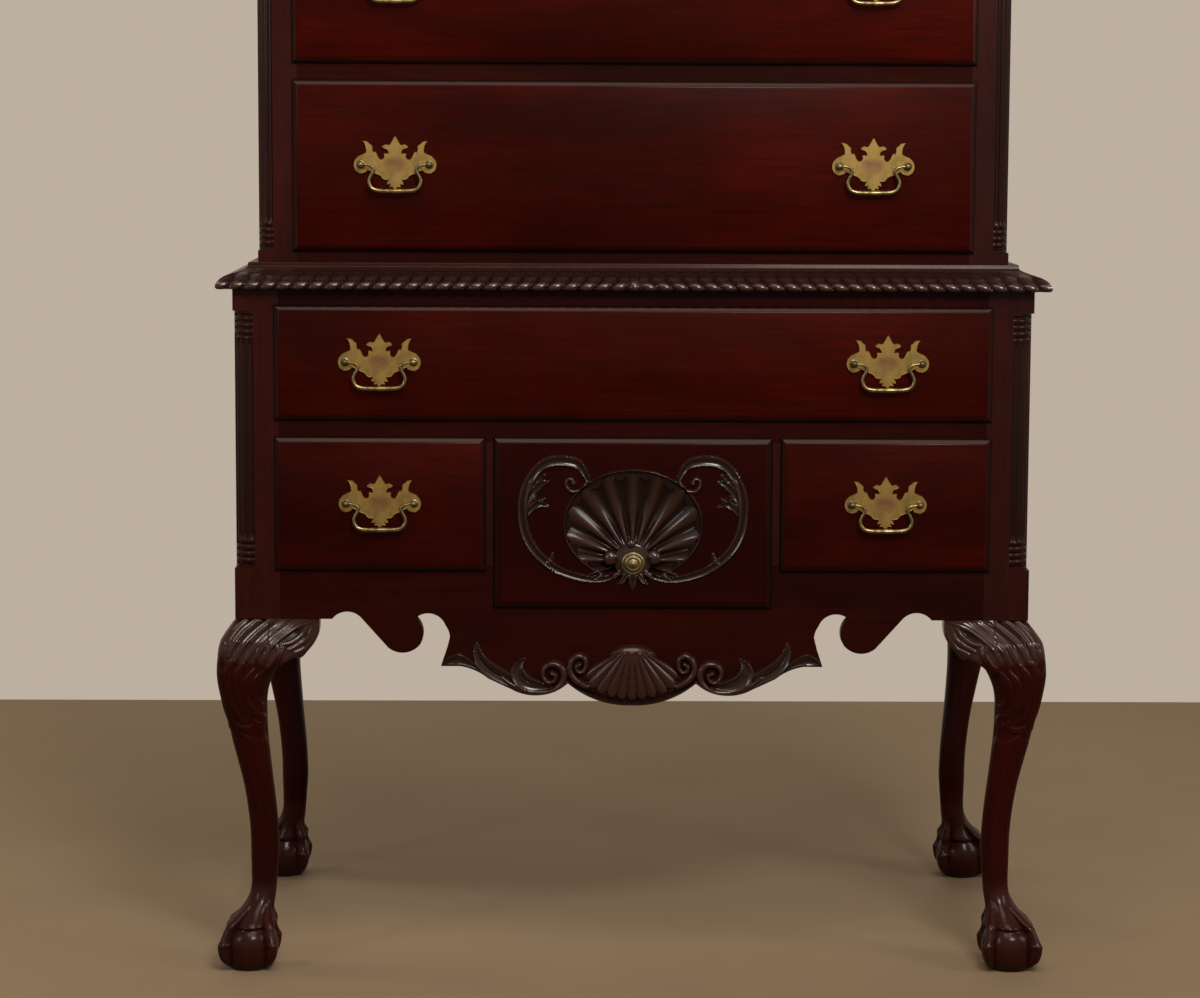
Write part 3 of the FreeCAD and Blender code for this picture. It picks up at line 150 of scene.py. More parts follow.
class Surface:
    """Points, in millimetres, and faces gathered for one mesh."""

    def __init__(self) -> None:
        """Starts without points and faces."""
        self._points: list[Array] = []
        self._faces: list[Array] = []
        self._hollow: list[Array] = []
        self._count = 0

    def add(self, points: Array, faces: Iterable[Array], hollow: Array | None = None) -> None:
        """Adds points and the faces on them.

        Args:
            points: One row of x, y and z per point.
            faces: Arrays of point numbers, one row per face.
            hollow: How deep in a carved hollow each point lies, from 0 to 1.
        """
        points = np.asarray(points, float).reshape(-1, 3)
        self._points.append(points)
        self._hollow.append(np.zeros(len(points)) if hollow is None else np.asarray(hollow,
                                                                                    float).ravel())
        for block in faces:
            self._faces.append(np.asarray(block, np.int64) + self._count)
        self._count += len(points)

    def grid(self, rows: Array, around: bool = False, hollow: Array | None = None) -> None:
        """Adds a net of four-sided faces.

        Args:
            rows: Points by row and column.
            around: Whether the last column joins the first.
            hollow: As for add.
        """
        count_r, count_c = rows.shape[:2]
        index = np.arange(count_r * count_c).reshape(count_r, count_c)
        after = np.roll(index, -1, 1) if around else index[:, 1:]
        here = index if around else index[:, :-1]
        faces = np.stack([here[:-1], after[:-1], after[1:], here[1:]], -1).reshape(-1, 4)
        self.add(rows, [faces], hollow)

    def loft(self, rings: Array, hollow: Array | None = None, closed: bool = True) -> None:
        """Adds a skin through closed rings, with end faces.

        Args:
            rings: Points by ring.
            hollow: As for add.
            closed: Whether the last ring gets a face too.
        """
        rings = np.asarray(rings, float)
        index = np.arange(rings.shape[0] * rings.shape[1]).reshape(rings.shape[:2])
        after = np.roll(index, -1, 1)
        sides = np.stack([index[:-1], after[:-1], after[1:], index[1:]], -1).reshape(-1, 4)
        ends = [index[:1, ::-1], index[-1:]] if closed else [index[:1, ::-1]]
        self.add(rings, [sides, *ends], hollow)

    def board(self, low: Sequence[float], high: Sequence[float], ease: float = 0.7) -> None:
        """Adds a straight board between two corners.

        Args:
            low: Lowest corner.
            high: Highest corner.
            ease: How much its edges are eased.
        """
        (x0, y0, z0), (x1, y1, z1) = low, high
        rings = []
        for z, inset in ((z0, ease), (z0 + ease, 0.0), (z1 - ease, 0.0), (z1, ease)):
            a, b, c, d = x0 + inset, x1 - inset, y0 + inset, y1 - inset
            rings.append([
                (a + ease, c, z), (b - ease, c, z), (b, c + ease, z), (b, d - ease, z),
                (b - ease, d, z), (a + ease, d, z), (a, d - ease, z), (a, c + ease, z),
            ])
        self.loft(np.array(rings))

    def slab(self, outline: Array, y0: float, y1: float, ease: float = 0.7) -> None:
        """Adds a flat piece between two depths.

        Args:
            outline: Rows of x and z.
            y0: Its front.
            y1: Its back.
            ease: How much its edges are eased.
        """
        outline = tidy_outline(outline)
        inner = inset_outline(outline, ease)
        rings = []
        for y, flat in ((y0, inner), (y0 + ease, outline), (y1 - ease, outline), (y1, inner)):
            rings.append(np.column_stack([flat[:, 0], np.full(len(flat), y), flat[:, 1]]))
        self.loft(np.array(rings))

    def lathe(
        self, profile: Sequence[Point2], centre: Sequence[float], axis: Sequence[float],
        steps: int = 40,
    ) -> None:
        """Adds a turned shape.

        Args:
            profile: Rows of radius and height along the axis.
            centre: Where height 0 of the axis is.
            axis: Direction of the axis.
            steps: Faces around.
        """
        profile = np.asarray(profile, float)
        turn = Vector(axis).to_track_quat("Z", "Y").to_matrix()
        angles = np.linspace(0, 2 * math.pi, steps, endpoint=False)
        ring = np.stack([np.cos(angles), np.sin(angles), np.zeros_like(angles)], 1)
        radius, height = profile[:, 0, None, None], profile[:, 1, None, None]
        rows = radius * ring[None] + height * np.array([0, 0, 1.0])
        self.grid(rows @ np.array(turn).T + np.array(centre, float), around=True)

    def tube(self, path: Array, radii: Array, sides: int = 14) -> None:
        """Adds a round bar.

        Args:
            path: Points along its middle.
            radii: Its radius at each.
            sides: Faces around it.
        """
        along = np.gradient(path, axis=0)
        along /= np.linalg.norm(along, axis=1)[:, None]
        side = np.cross(along[0], (0.0, 1.0, 0.0))
        if np.linalg.norm(side) < 0.1:
            side = np.cross(along[0], (1.0, 0.0, 0.0))
        rings = []
        angle = np.linspace(0, 2 * math.pi, sides, endpoint=False)
        for place, way, radius in zip(path, along, radii):
            side = side - way * (side @ way)
            side /= np.linalg.norm(side)
            lift = np.cross(way, side)
            ring = np.outer(np.cos(angle), side) + np.outer(np.sin(angle), lift)
            rings.append(place + radius * ring)
        self.loft(np.array(rings))

    def to_object(self, name: str, material: bpy.types.Material,
                  sharp_degrees: float) -> bpy.types.Object:
        """Makes the Blender object, smooth except at its sharp edges.

        Args:
            name: Its name.
            material: Its material.
            sharp_degrees: Least angle of a sharp edge.

        Returns:
            The object, in the scene.
        """
        points = np.vstack(self._points) * MM
        mesh = bpy.data.meshes.new(name)
        sizes = np.concatenate([np.full(len(f), f.shape[1]) for f in self._faces])
        corners = np.concatenate([f.ravel() for f in self._faces])
        mesh.vertices.add(len(points))
        mesh.vertices.foreach_set("co", points.astype(np.float32).ravel())
        mesh.loops.add(len(corners))
        mesh.loops.foreach_set("vertex_index", corners.astype(np.int32))
        mesh.polygons.add(len(sizes))
        mesh.polygons.foreach_set("loop_start", (np.cumsum(sizes) - sizes).astype(np.int32))
        mesh.polygons.foreach_set("use_smooth", np.ones(len(sizes), bool))
        mesh.update(calc_edges=True)
        mesh.validate()
        shell = bmesh.new()
        shell.from_mesh(mesh)
        bmesh.ops.recalc_face_normals(shell, faces=shell.faces)
        shell.to_mesh(mesh)
        shell.free()
        attribute = mesh.attributes.new("hollow", "FLOAT", "POINT")
        attribute.data.foreach_set("value", np.concatenate(self._hollow).astype(np.float32))
        mesh.set_sharp_from_angle(angle=math.radians(sharp_degrees))
        mesh.materials.append(material)
        made = bpy.data.objects.new(name, mesh)
        bpy.context.scene.collection.objects.link(made)
        return made


def tidy_outline(outline: Array) -> Array:
    """An outline without repeated places, running counter-clockwise.

    Args:
        outline: Rows of two coordinates.

    Returns:
        The tidied rows.
    """
    outline = np.asarray(outline, float)
    keep = np.linalg.norm(outline - np.roll(outline, 1, 0), axis=1) > 1e-3
    outline = outline[keep]
    x, z = outline.T
    area = np.sum(x * np.roll(z, -1) - np.roll(x, -1) * z)
    return outline if area > 0 else outline[::-1]


def inset_outline(outline: Array, distance: float) -> Array:
    """An outline moved inwards by a small distance.

    Args:
        outline: Counter-clockwise rows of two coordinates.
        distance: How far it moves.

    Returns:
        As many rows as the outline has.
    """
    before = outline - np.roll(outline, 1, 0)
    after = np.roll(outline, -1, 0) - outline
    normals = []
    for way in (before, after):
        way = way / np.linalg.norm(way, axis=1)[:, None]
        normals.append(np.stack([-way[:, 1], way[:, 0]], 1))
    middle = normals[0] + normals[1]
    length = np.maximum(np.linalg.norm(middle, axis=1), 0.5)[:, None]
    return outline + middle / length * distance


# ---- carved work
def half_round(reach: Array) -> Array:
    """Height of a half circle over its middle, and nothing beyond a reach of 1."""
    return np.sqrt(np.maximum(0, 1 - reach * reach))


class Cut(Enum):
    """The section of one carved strand."""

    ROUND = "round"
    VEINED = "veined"
    HOLLOW = "hollow"
    SLOPED = "sloped"
    GROOVE = "groove"


@dataclass(frozen=True)
class Stroke:
    """One carved strand: a smooth line with half widths and heights along it, in mm."""

    line: Line
    widths: tuple[float, ...]
    heights: tuple[float, ...]
    cut: Cut = Cut.ROUND

    def mirrored(self) -> "Stroke":
        """The same strand on the other side of the middle.

        Returns:
            The strand; a sloped one also runs the other way.
        """
        widths, heights = self.widths, self.heights
        line = tuple((-u, v) for u, v in self.line)
        if self.cut is Cut.SLOPED:
            line, widths, heights = line[::-1], widths[::-1], heights[::-1]
        return Stroke(line, widths, heights, self.cut)


def softened(field: Array) -> Array:
    """Evens out each value with its neighbours', across the net and along it.

    Args:
        field: Values by row and column.

    Returns:
        The softer values.
    """
    for axis in (0, 1):
        edge = [(1, 1) if k == axis else (0, 0) for k in (0, 1)]
        wide = np.pad(field, edge, mode="edge")
        size = field.shape[axis]
        before, after = (np.take(wide, range(k, k + size), axis) for k in (0, 2))
        field = 0.25 * before + 0.5 * field + 0.25 * after
    return field


class Relief:
    """Heights in mm over a ground, for every point of a net."""

    def __init__(self, u: Array, v: Array) -> None:
        """Starts with flat ground.

        Args:
            u: Each point's place across.
            v: Each point's place upwards.
        """
        self.u = u
        self.v = v
        self.height = np.zeros(u.shape)

    def carve(self, strokes: Iterable[Stroke]) -> None:
        """Raises or cuts each strand in turn."""
        for stroke in strokes:
            self._carve_one(stroke)

    def _carve_one(self, stroke: Stroke) -> None:
        """Raises one strand where it is the highest so far, or cuts one groove.

        Args:
            stroke: The strand.
        """
        line = smooth_line(stroke.line, 7)
        reach = max(stroke.widths)
        low = line.min(0) - reach
        high = line.max(0) + reach
        near = (self.u > low[0]) & (self.u < high[0]) & (self.v > low[1]) & (self.v < high[1])
        if not near.any():
            return
        places = np.stack([self.u[near], self.v[near]], 1)
        span = line[1:] - line[:-1]
        rel = places[:, None] - line[None, :-1]
        share = np.clip((rel * span).sum(2) / np.maximum((span * span).sum(1), 1e-12), 0, 1)
        off = rel - share[..., None] * span
        far = (off * off).sum(2)
        best = far.argmin(1)
        row = np.arange(len(best))
        along = (best + share[row, best]) / len(span)
        width = np.interp(along, np.linspace(0, 1, len(stroke.widths)), stroke.widths)
        tall = np.interp(along, np.linspace(0, 1, len(stroke.heights)), stroke.heights)
        t = np.sqrt(far[row, best]) / np.maximum(width, 1e-6)
        inside = t < 1
        dome = half_round(t)
        cross = span[best, 0] * off[row, best, 1] - span[best, 1] * off[row, best, 0]
        here = self.height[near]
        if stroke.cut is Cut.GROOVE:
            made = here - tall * dome
        elif stroke.cut is Cut.VEINED:
            made = np.maximum(here, tall * (dome - 0.42 * np.exp(-((t / 0.22) ** 2))))
        elif stroke.cut is Cut.HOLLOW:
            made = np.maximum(here, tall * np.minimum(dome * 1.6, 0.35 + 0.65 * t * t))
        elif stroke.cut is Cut.SLOPED:
            lean = 0.5 + 0.5 * np.sign(cross) * t
            made = np.maximum(here, tall * dome * (0.25 + 0.85 * lean))
        else:
            made = np.maximum(here, tall * dome)
        self.height[near] = np.where(inside, made, here)

    def dome(self, centre: Point2, radius: float, tall: float) -> None:
        """Raises a round boss where it is the highest so far.

        Args:
            centre: Its place, across and upwards.
            radius: Its radius.
            tall: Its height in the middle.
        """
        far = np.hypot(self.u - centre[0], self.v - centre[1]) / radius
        raised = tall * half_round(far)
        self.height = np.where(far < 1, np.maximum(self.height, raised), self.height)

    def hollows(self, top: float, deep: float) -> Array:
        """How hollow each place is, 0 at the top height and 1 at the deep one."""
        return np.clip((top - self.height) / (top - deep), 0, 1)


# ---- finishes
class Grain(Enum):
    """The way the wood's fibres run."""

    X = 0
    Y = 1
    Z = 2

    def stretch(self, share: float) -> tuple[float, float, float]:
        """A scale that is short along the fibres."""
        return tuple(share if k == self.value else 1.0 for k in range(3))


class Graph:
    """The nodes of one material or world, with short ways to add and join them."""

    def __init__(self, owner: bpy.types.Material | bpy.types.World) -> None:
        """Starts with no nodes.

        Args:
            owner: The material or world.
        """
        self.owner = owner
        owner.use_nodes = True
        self.tree = owner.node_tree
        self.tree.nodes.clear()

    def node(self, kind: str, inputs: dict | None = None, **settings: object) -> bpy.types.Node:
        """Adds a node.

        Args:
            kind: Its type after the word ShaderNode.
            inputs: A value or socket for each of its sockets.
            settings: Its own settings.

        Returns:
            The new node.
        """
        made = self.tree.nodes.new("ShaderNode" + kind)
        for key, value in settings.items():
            setattr(made, key, value)
        for key, value in (inputs or {}).items():
            if isinstance(value, Socket):
                self.tree.links.new(value, made.inputs[key])
            else:
                made.inputs[key].default_value = value
        return made

    def place(self, scale: Sequence[float] = (1.0, 1.0, 1.0)) -> Socket:
        """The piece's own coordinates, scaled along each axis."""
        coords = self.node("TexCoord").outputs["Object"]
        return self.node("Mapping", {"Vector": coords, "Scale": tuple(scale)}).outputs["Vector"]

    def noise(
        self, vector: Socket, scale: float, detail: float = 4.0, rough: float = 0.55,
        twist: float = 0.0,
    ) -> Socket:
        """Cloudy noise from 0 to 1."""
        inputs = {"Vector": vector, "Scale": scale, "Detail": detail, "Roughness": rough,
                  "Distortion": twist}
        return self.node("TexNoise", inputs).outputs["Fac"]

    def ease(self, value: Socket, low: float, high: float, a: float = 0.0,
             b: float = 1.0) -> Socket:
        """The value eased from a, at low, to b, at high."""
        inputs = {"Value": value, "From Min": low, "From Max": high, "To Min": a, "To Max": b}
        return self.node("MapRange", inputs, interpolation_type="SMOOTHSTEP").outputs["Result"]

    def mix(self, share: Socket | float, first: Socket | Colour,
            second: Socket | Colour) -> Socket:
        """Mixes two colours.

        Args:
            share: How much of the second.
            first: A socket or three numbers.
            second: A socket or three numbers.

        Returns:
            The mixed colour.
        """
        inputs = {0: share, 6: first, 7: second}
        for key in (6, 7):
            if not isinstance(inputs[key], Socket):
                inputs[key] = (*inputs[key], 1.0)
        return self.node("Mix", inputs, data_type="RGBA").outputs[2]

    def maths(self, kind: str, *values: Socket | float) -> Socket:
        """A sum on up to three numbers."""
        return self.node("Math", dict(enumerate(values)), operation=kind).outputs[0]

    def hollow(self) -> Socket:
        """How hollow the wood is: crests 0.15, deepest hollows 1, painted shade in edges and
        grooves below 0.
        """
        return self.node("Attribute", attribute_name="hollow").outputs["Fac"]

    def bump(self, height: Socket, strength: float, distance: float) -> Socket:
        """A normal roughened by the height."""
        inputs = {"Height": height, "Strength": strength, "Distance": distance}
        return self.node("Bump", inputs).outputs["Normal"]

    def finish(self, inputs: dict) -> bpy.types.Material:
        """Ends the graph in one shader.

        Args:
            inputs: The shader's inputs by name.

        Returns:
            The finished material.
        """
        shader = self.node("BsdfPrincipled", inputs)
        self.node("OutputMaterial", {"Surface": shader.outputs["BSDF"]})
        return self.owner


@dataclass(frozen=True)
class Mahogany:
    """Stained and polished mahogany: deep in its pores, body and glow in its figure.

    Carved crests: browner and more polished, with painted highlight; carved hollows: painted
    shade, dull.
    """

    name: str
    grain: Grain
    deep: Colour = (0.009, 0.0010, 0.0006)
    body: Colour = (0.0205, 0.0011, 0.0003)
    glow: Colour = (0.050, 0.0022, 0.0004)
    rough: float = 0.38
    coat: float = 0.06
    polished: float = 0.65
    sheen: float = 0.03
    # Strength of the painted shade in carved hollows.
    hollow: float = 0.82
    slot: str = "mahogany"
    # Crest colour: partly the carving's browner tone, partly a painted highlight.
    crest_tone_and_highlight: Colour = (0.031, 0.0102, 0.0070)
    # Painted shade for carved hollows.
    painted_hollow_shade: Colour = (0.0065, 0.0022, 0.0018)
    # Painted shade for moulded edges and grooves.
    painted_groove_shade: Colour = (0.0045, 0.0014, 0.0010)
    crest_band: Point2 = (0.02, 0.14)

    def build(self) -> bpy.types.Material:
        """Makes the material: figure and pores, then the carving's painted highlight and shade,
        and polish.

        Returns:
            The material.
        """
        g = Graph(bpy.data.materials.new(self.name))
        fibre = g.noise(g.place(self.grain.stretch(0.05)), 240.0, 7.0, 0.62, 0.3)
        ribbon = g.noise(g.place(self.grain.stretch(0.28)), 9.0, 4.0, 0.55, 0.8)
        cloud = g.noise(g.place(), 2.6, 2.0, 0.5)
        pore = g.ease(g.noise(g.place(self.grain.stretch(0.03)), 1500.0, 3.0, 0.6), 0.60, 0.70)
        broad, patchy = g.ease(ribbon, 0.34, 0.66, 0.0, 0.6), g.ease(cloud, 0.40, 0.62, 0.0, 0.4)
        figure = g.maths("ADD", broad, patchy)
        colour = g.mix(figure, self.body, self.glow)
        colour = g.mix(g.ease(fibre, 0.34, 0.62, 0.42, 0.0), colour, self.deep)
        colour = g.mix(g.maths("MULTIPLY", pore, 0.55), colour, self.deep)
        depth = g.hollow()
        # Carved surfaces take the crest colour, partly a painted highlight.
        colour = g.mix(g.ease(depth, *self.crest_band, 0.0, 0.8), colour, self.crest_tone_and_highlight)
        # Painted shade, deepest in carved hollows.
        colour = g.mix(g.ease(depth, 0.16, 0.75, 0.0, self.hollow), colour, self.painted_hollow_shade)
        # Painted shade in moulded edges, flutes and grooves, where the attribute is below 0.
        colour = g.mix(g.ease(depth, -0.05, -0.9, 0.0, 0.8), colour, self.painted_groove_shade)
        haze = g.noise(g.place(), 14.0, 5.0, 0.62)
        worn = g.ease(haze, 0.35, 0.75, self.rough - 0.05, self.rough + 0.12)
        rough = g.maths("MULTIPLY_ADD", pore, 0.12, worn)
        relief = g.maths("MULTIPLY_ADD", pore, -0.6, fibre)
        polish = g.ease(depth, *self.crest_band, self.coat, self.polished)
        polish = g.maths("ADD", polish, g.ease(depth, -0.05, -0.5, 0.0, 0.16))
        normal = g.bump(relief, 0.18, 0.0003)
        polish = g.maths("MULTIPLY", polish, g.ease(depth, 0.35, 0.95, 1.0, 0.3))
        return g.finish({
            "Base Color": colour, "Roughness": rough, "Normal": normal, "Coat Weight": polish,
            "Coat Roughness": 0.17, "Specular IOR Level": self.sheen,
        })


@dataclass(frozen=True)
class PlainWood:
    """Unpolished inside wood, gone yellow-brown with age."""

    name: str
    grain: Grain
    pale: Colour = (0.46, 0.29, 0.145)
    dark: Colour = (0.24, 0.13, 0.060)
    slot: str = "secondary_wood"

    def build(self) -> bpy.types.Material:
        """Makes the material.

        Returns:
            The material.
        """
        g = Graph(bpy.data.materials.new(self.name))
        rings = g.noise(g.place(self.grain.stretch(0.10)), 34.0, 5.0, 0.6, 1.2)
        fibre = g.noise(g.place(self.grain.stretch(0.04)), 420.0, 5.0, 0.65)
        stain = g.noise(g.place(), 4.0, 4.0, 0.6)
        colour = g.mix(g.ease(rings, 0.38, 0.62), self.pale, self.dark)
        colour = g.mix(g.ease(fibre, 0.35, 0.65, 0.45, 0.0), colour, self.dark)
        colour = g.mix(g.ease(stain, 0.48, 0.72, 0.0, 0.5), colour, self.dark)
        return g.finish({
            "Base Color": colour, "Roughness": g.ease(stain, 0.3, 0.7, 0.58, 0.72),
            "Normal": g.bump(fibre, 0.25, 0.0004), "Specular IOR Level": 0.35,
        })


@dataclass(frozen=True)
class Brass:
    """Aged brass: olive gold, browner where hands have worn the lacquer."""

    name: str
    gold: Colour = (0.52, 0.36, 0.120)
    olive: Colour = (0.24, 0.165, 0.055)
    brown: Colour = (0.27, 0.145, 0.073)
    worn_radius: float = 0.0
    rough: float = 0.34
    slot: str = "brass"
    grime: Colour = (0.045, 0.030, 0.016)

    def build(self) -> bpy.types.Material:
        """Makes the material, browner in a plate's worn middle.

        Returns:
            The material.
        """
        g = Graph(bpy.data.materials.new(self.name))
        cloud = g.noise(g.place(), 60.0, 5.0, 0.6)
        speck = g.noise(g.place(), 420.0, 4.0, 0.65)
        colour = g.mix(g.ease(cloud, 0.36, 0.66), self.gold, self.olive)
        colour = g.mix(g.ease(speck, 0.56, 0.74, 0.0, 0.6), colour, self.olive)
        if self.worn_radius:
            length = g.node("VectorMath", {0: g.place((1.0, 1.0, 1.5))}, operation="LENGTH")
            middle = length.outputs["Value"]
            ragged = g.maths("MULTIPLY_ADD", cloud, 0.9 * self.worn_radius, middle)
            worn = g.ease(ragged, 0.8 * self.worn_radius, 1.6 * self.worn_radius, 0.85, 0.0)
            colour = g.mix(worn, colour, self.brown)
        colour = g.mix(g.ease(g.hollow(), 0.1, 0.9, 0.0, 0.85), colour, self.grime)
        return g.finish({
            "Base Color": colour, "Metallic": 1.0,
            "Roughness": g.ease(cloud, 0.3, 0.7, self.rough - 0.06, self.rough + 0.14),
            "Normal": g.bump(speck, 0.12, 0.0002),
        })


@dataclass(frozen=True)
class Matt:
    """A plain matt surface for the studio."""

    name: str
    colour: Colour
    rough: float = 0.8
    slot: str = ""

    def build(self) -> bpy.types.Material:
        """Makes the material.

        Returns:
            The material.
        """
        g = Graph(bpy.data.materials.new(self.name))
        cloud = g.noise(g.place(), 3.0, 3.0)
        shade = tuple(0.94 * c for c in self.colour)
        colour = g.mix(g.ease(cloud, 0.3, 0.7), self.colour, shade)
        return g.finish({"Base Color": colour, "Roughness": self.rough, "Specular IOR Level": 0.2})


Finish = Mahogany | PlainWood | Brass | Matt


class Palette:
    """The finishes, each made once, when it is first asked for."""

    drawer = Mahogany("drawer_mahogany", Grain.X)
    shell_panel = Mahogany("shell_panel_mahogany", Grain.X, body=(0.0135, 0.0010, 0.0004),
                           glow=(0.025, 0.0016, 0.0006), polished=0.9)
    rail = Mahogany("rail_mahogany", Grain.X, body=(0.0135, 0.0017, 0.0010),
                    glow=(0.029, 0.0027, 0.0014))
    stile = Mahogany("stile_mahogany", Grain.Z, body=(0.018, 0.0021, 0.0012),
                     glow=(0.040, 0.0033, 0.0016), sheen=0.1)
    side = Mahogany("side_mahogany", Grain.Z, body=(0.026, 0.0026, 0.0014),
                    glow=(0.058, 0.0045, 0.0020))
    roof = Mahogany("roof_mahogany", Grain.Y, body=(0.024, 0.0026, 0.0015),
                    glow=(0.048, 0.0042, 0.0020))
    leg = Mahogany("leg_mahogany", Grain.Z, body=(0.018, 0.0023, 0.0013),
                   glow=(0.040, 0.0034, 0.0014), coat=0.08, polished=0.5)
    carved = Mahogany("carved_mahogany", Grain.X, body=(0.019, 0.0042, 0.0029),
                      glow=(0.036, 0.0068, 0.0044), coat=0.14)
    column = Mahogany("column_mahogany", Grain.Z, body=(0.019, 0.0040, 0.0027),
                      glow=(0.034, 0.0058, 0.0036), coat=0.22)
    inside_x = PlainWood("inside_wood_across", Grain.X)
    inside_y = PlainWood("inside_wood_deep", Grain.Y)
    inside_z = PlainWood("back_wood", Grain.Z, pale=(0.30, 0.19, 0.10), dark=(0.15, 0.085, 0.045))
    plate = Brass("plate_brass", worn_radius=0.018)
    bail = Brass("bail_brass", gold=(0.26, 0.21, 0.098), olive=(0.085, 0.070, 0.037), rough=0.30)
    fixing = Brass("fixing_brass", gold=(0.22, 0.17, 0.085), olive=(0.085, 0.066, 0.036),
                   rough=0.42)

    def __init__(self) -> None:
        """Starts without materials."""
        self._made: dict[str, bpy.types.Material] = {}

    def material(self, finish: Finish) -> bpy.types.Material:
        """The Blender material of a finish, made when it is first asked for.

        Args:
            finish: One of the finishes.

        Returns:
            Its material.
        """
        if finish.name not in self._made:
            self._made[finish.name] = finish.build()
        return self._made[finish.name]


@dataclass
class Workshop:
    """Puts finished pieces on the frame."""

    frame: dict
    palette: Palette = field(default_factory=Palette)
    pieces: list[bpy.types.Object] = field(default_factory=list)
    edge_ease: float = 0.0008
    edge_steps: int = 2
    edge_degrees: float = 30

    def put(
        self, name: str, surface: Surface, finish: Finish, body: str = "case",
        replaces: Sequence[str] = (), origin: Point3 = (0.0, 0.0, 0.0), sharp: float = 38.0,
    ) -> bpy.types.Object:
        """Turns a surface into a piece that rides on a body.

        Args:
            name: The piece's name.
            surface: Its shape, in the frame of the part.
            finish: One of the palette's finishes.
            body: The body it moves with.
            replaces: Nodes of the frame that it stands for.
            origin: Where its own coordinates start.
            sharp: Faces that meet at more than this angle, in degrees, keep their edge.

        Returns:
            The new object.
        """
        made = surface.to_object(name, self.palette.material(finish), sharp)
        if any(origin):
            start = Vector(origin) * MM
            made.data.transform(Matrix.Translation(-start))
            made.location = start
        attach(made, body)
        if replaces:
            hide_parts(*replaces)
        self.pieces.append(made)
        LOG.info("%s: %d faces on %s", name, len(made.data.polygons), body)
        return made

    def dress(self, node: str, finish: Finish) -> None:
        """Gives a node of the frame its finish and softens its edges.

        Args:
            node: Name of the node.
            finish: One of the palette's finishes.
        """
        carried = self.frame["nodes"][node]
        carried.data.materials.clear()
        carried.data.materials.append(self.palette.material(finish))
        bevel = carried.modifiers.new("eased_edges", "BEVEL")
        bevel.width = self.edge_ease
        bevel.segments = self.edge_steps
        bevel.limit_method = "ANGLE"
        bevel.angle_limit = math.radians(self.edge_degrees)
        LOG.info("%s keeps its shape, in %s", node, finish.name)


# ---- places on the frame
class Place:
    """Places of the case in mm."""

    half, front, back = 513.0, -272.5, 272.5
    case_low, case_top = 463.9, 890.0
    opening_half, shell_half, partition_out = 454.5, 173.4, 195.7
    side_sill, shell_sill, small_top, long_sill, long_top = 533.5, 485.7, 695.0, 728.0, 864.1
    stile, board_back, apron_back = 58.5, -214.0, -252.5
    upper_half, upper_front, upper_top = 482.5, -242.0, 1806.9
    upper_opening, upper_stile, upper_back = 431.4, 51.1, -190.9
    upper_sills = (942.9, 1182.5, 1422.1, 1626.9)
    upper_rail, row_top, top_shell_half, top_partition = 32.8, 1768.9, 125.0, 147.3
    lower_notch, lower_column = 26.0, (529.9, 862.0)
    upper_notch, upper_column = 20.0, (937.7, 1794.9)
    inner_half, inner_back = 464.5, 258.5
    front_board, case_board, rail_ease = 20, 16, 0.3


def corners(node: str) -> tuple[Array, Array]:
    """A node's lowest and highest corner in mm."""
    low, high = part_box(node)
    return np.array(low) / MM, np.array(high) / MM


def smooth_step(value: Array, low: float, high: float) -> Array:
    """Eases from 0, at low, to 1, at high."""
    share = np.clip((value - low) / (high - low), 0, 1)
    return share * share * (3 - 2 * share)


def both_sides(rows: Array) -> tuple[Array, Array]:
    """Points and their mirror on the other side of the middle."""
    return rows, rows * np.array([-1.0, 1.0, 1.0])


# ---- the two cases
def notched_post(size: float, notch: float, levels: Sequence[float]) -> Array:
    """Rings of a square corner post with a square notch for its column.

    Args:
        size: Width and depth of the post.
        notch: Width and depth of the notch.
        levels: Foot of the post, foot and head of the notch, head of the post.

    Returns:
        Rings with the outer corner at x = 0, y = 0 and the post towards +x and +y.
    """
    ease = 0.9

    def ring(z: float, cut: bool) -> list[Point3]:
        """The post's outline at one height.

        Args:
            z: The height.
            cut: Whether the notch is cut here.

        Returns:
            Seven places around the post.
        """
        corner = [(notch, notch), (notch, notch)] if cut else [(0.0, ease), (ease, 0.0)]
        flat = [(0.0, size), (0.0, notch), *corner, (notch, 0.0), (size, 0.0), (size, size)]
        return [(x, y, z) for x, y in flat]

    foot, low, high, head = levels
    return np.array([ring(foot, False), ring(low, False), ring(low, True), ring(high, True),
                     ring(high, False), ring(head, False)])


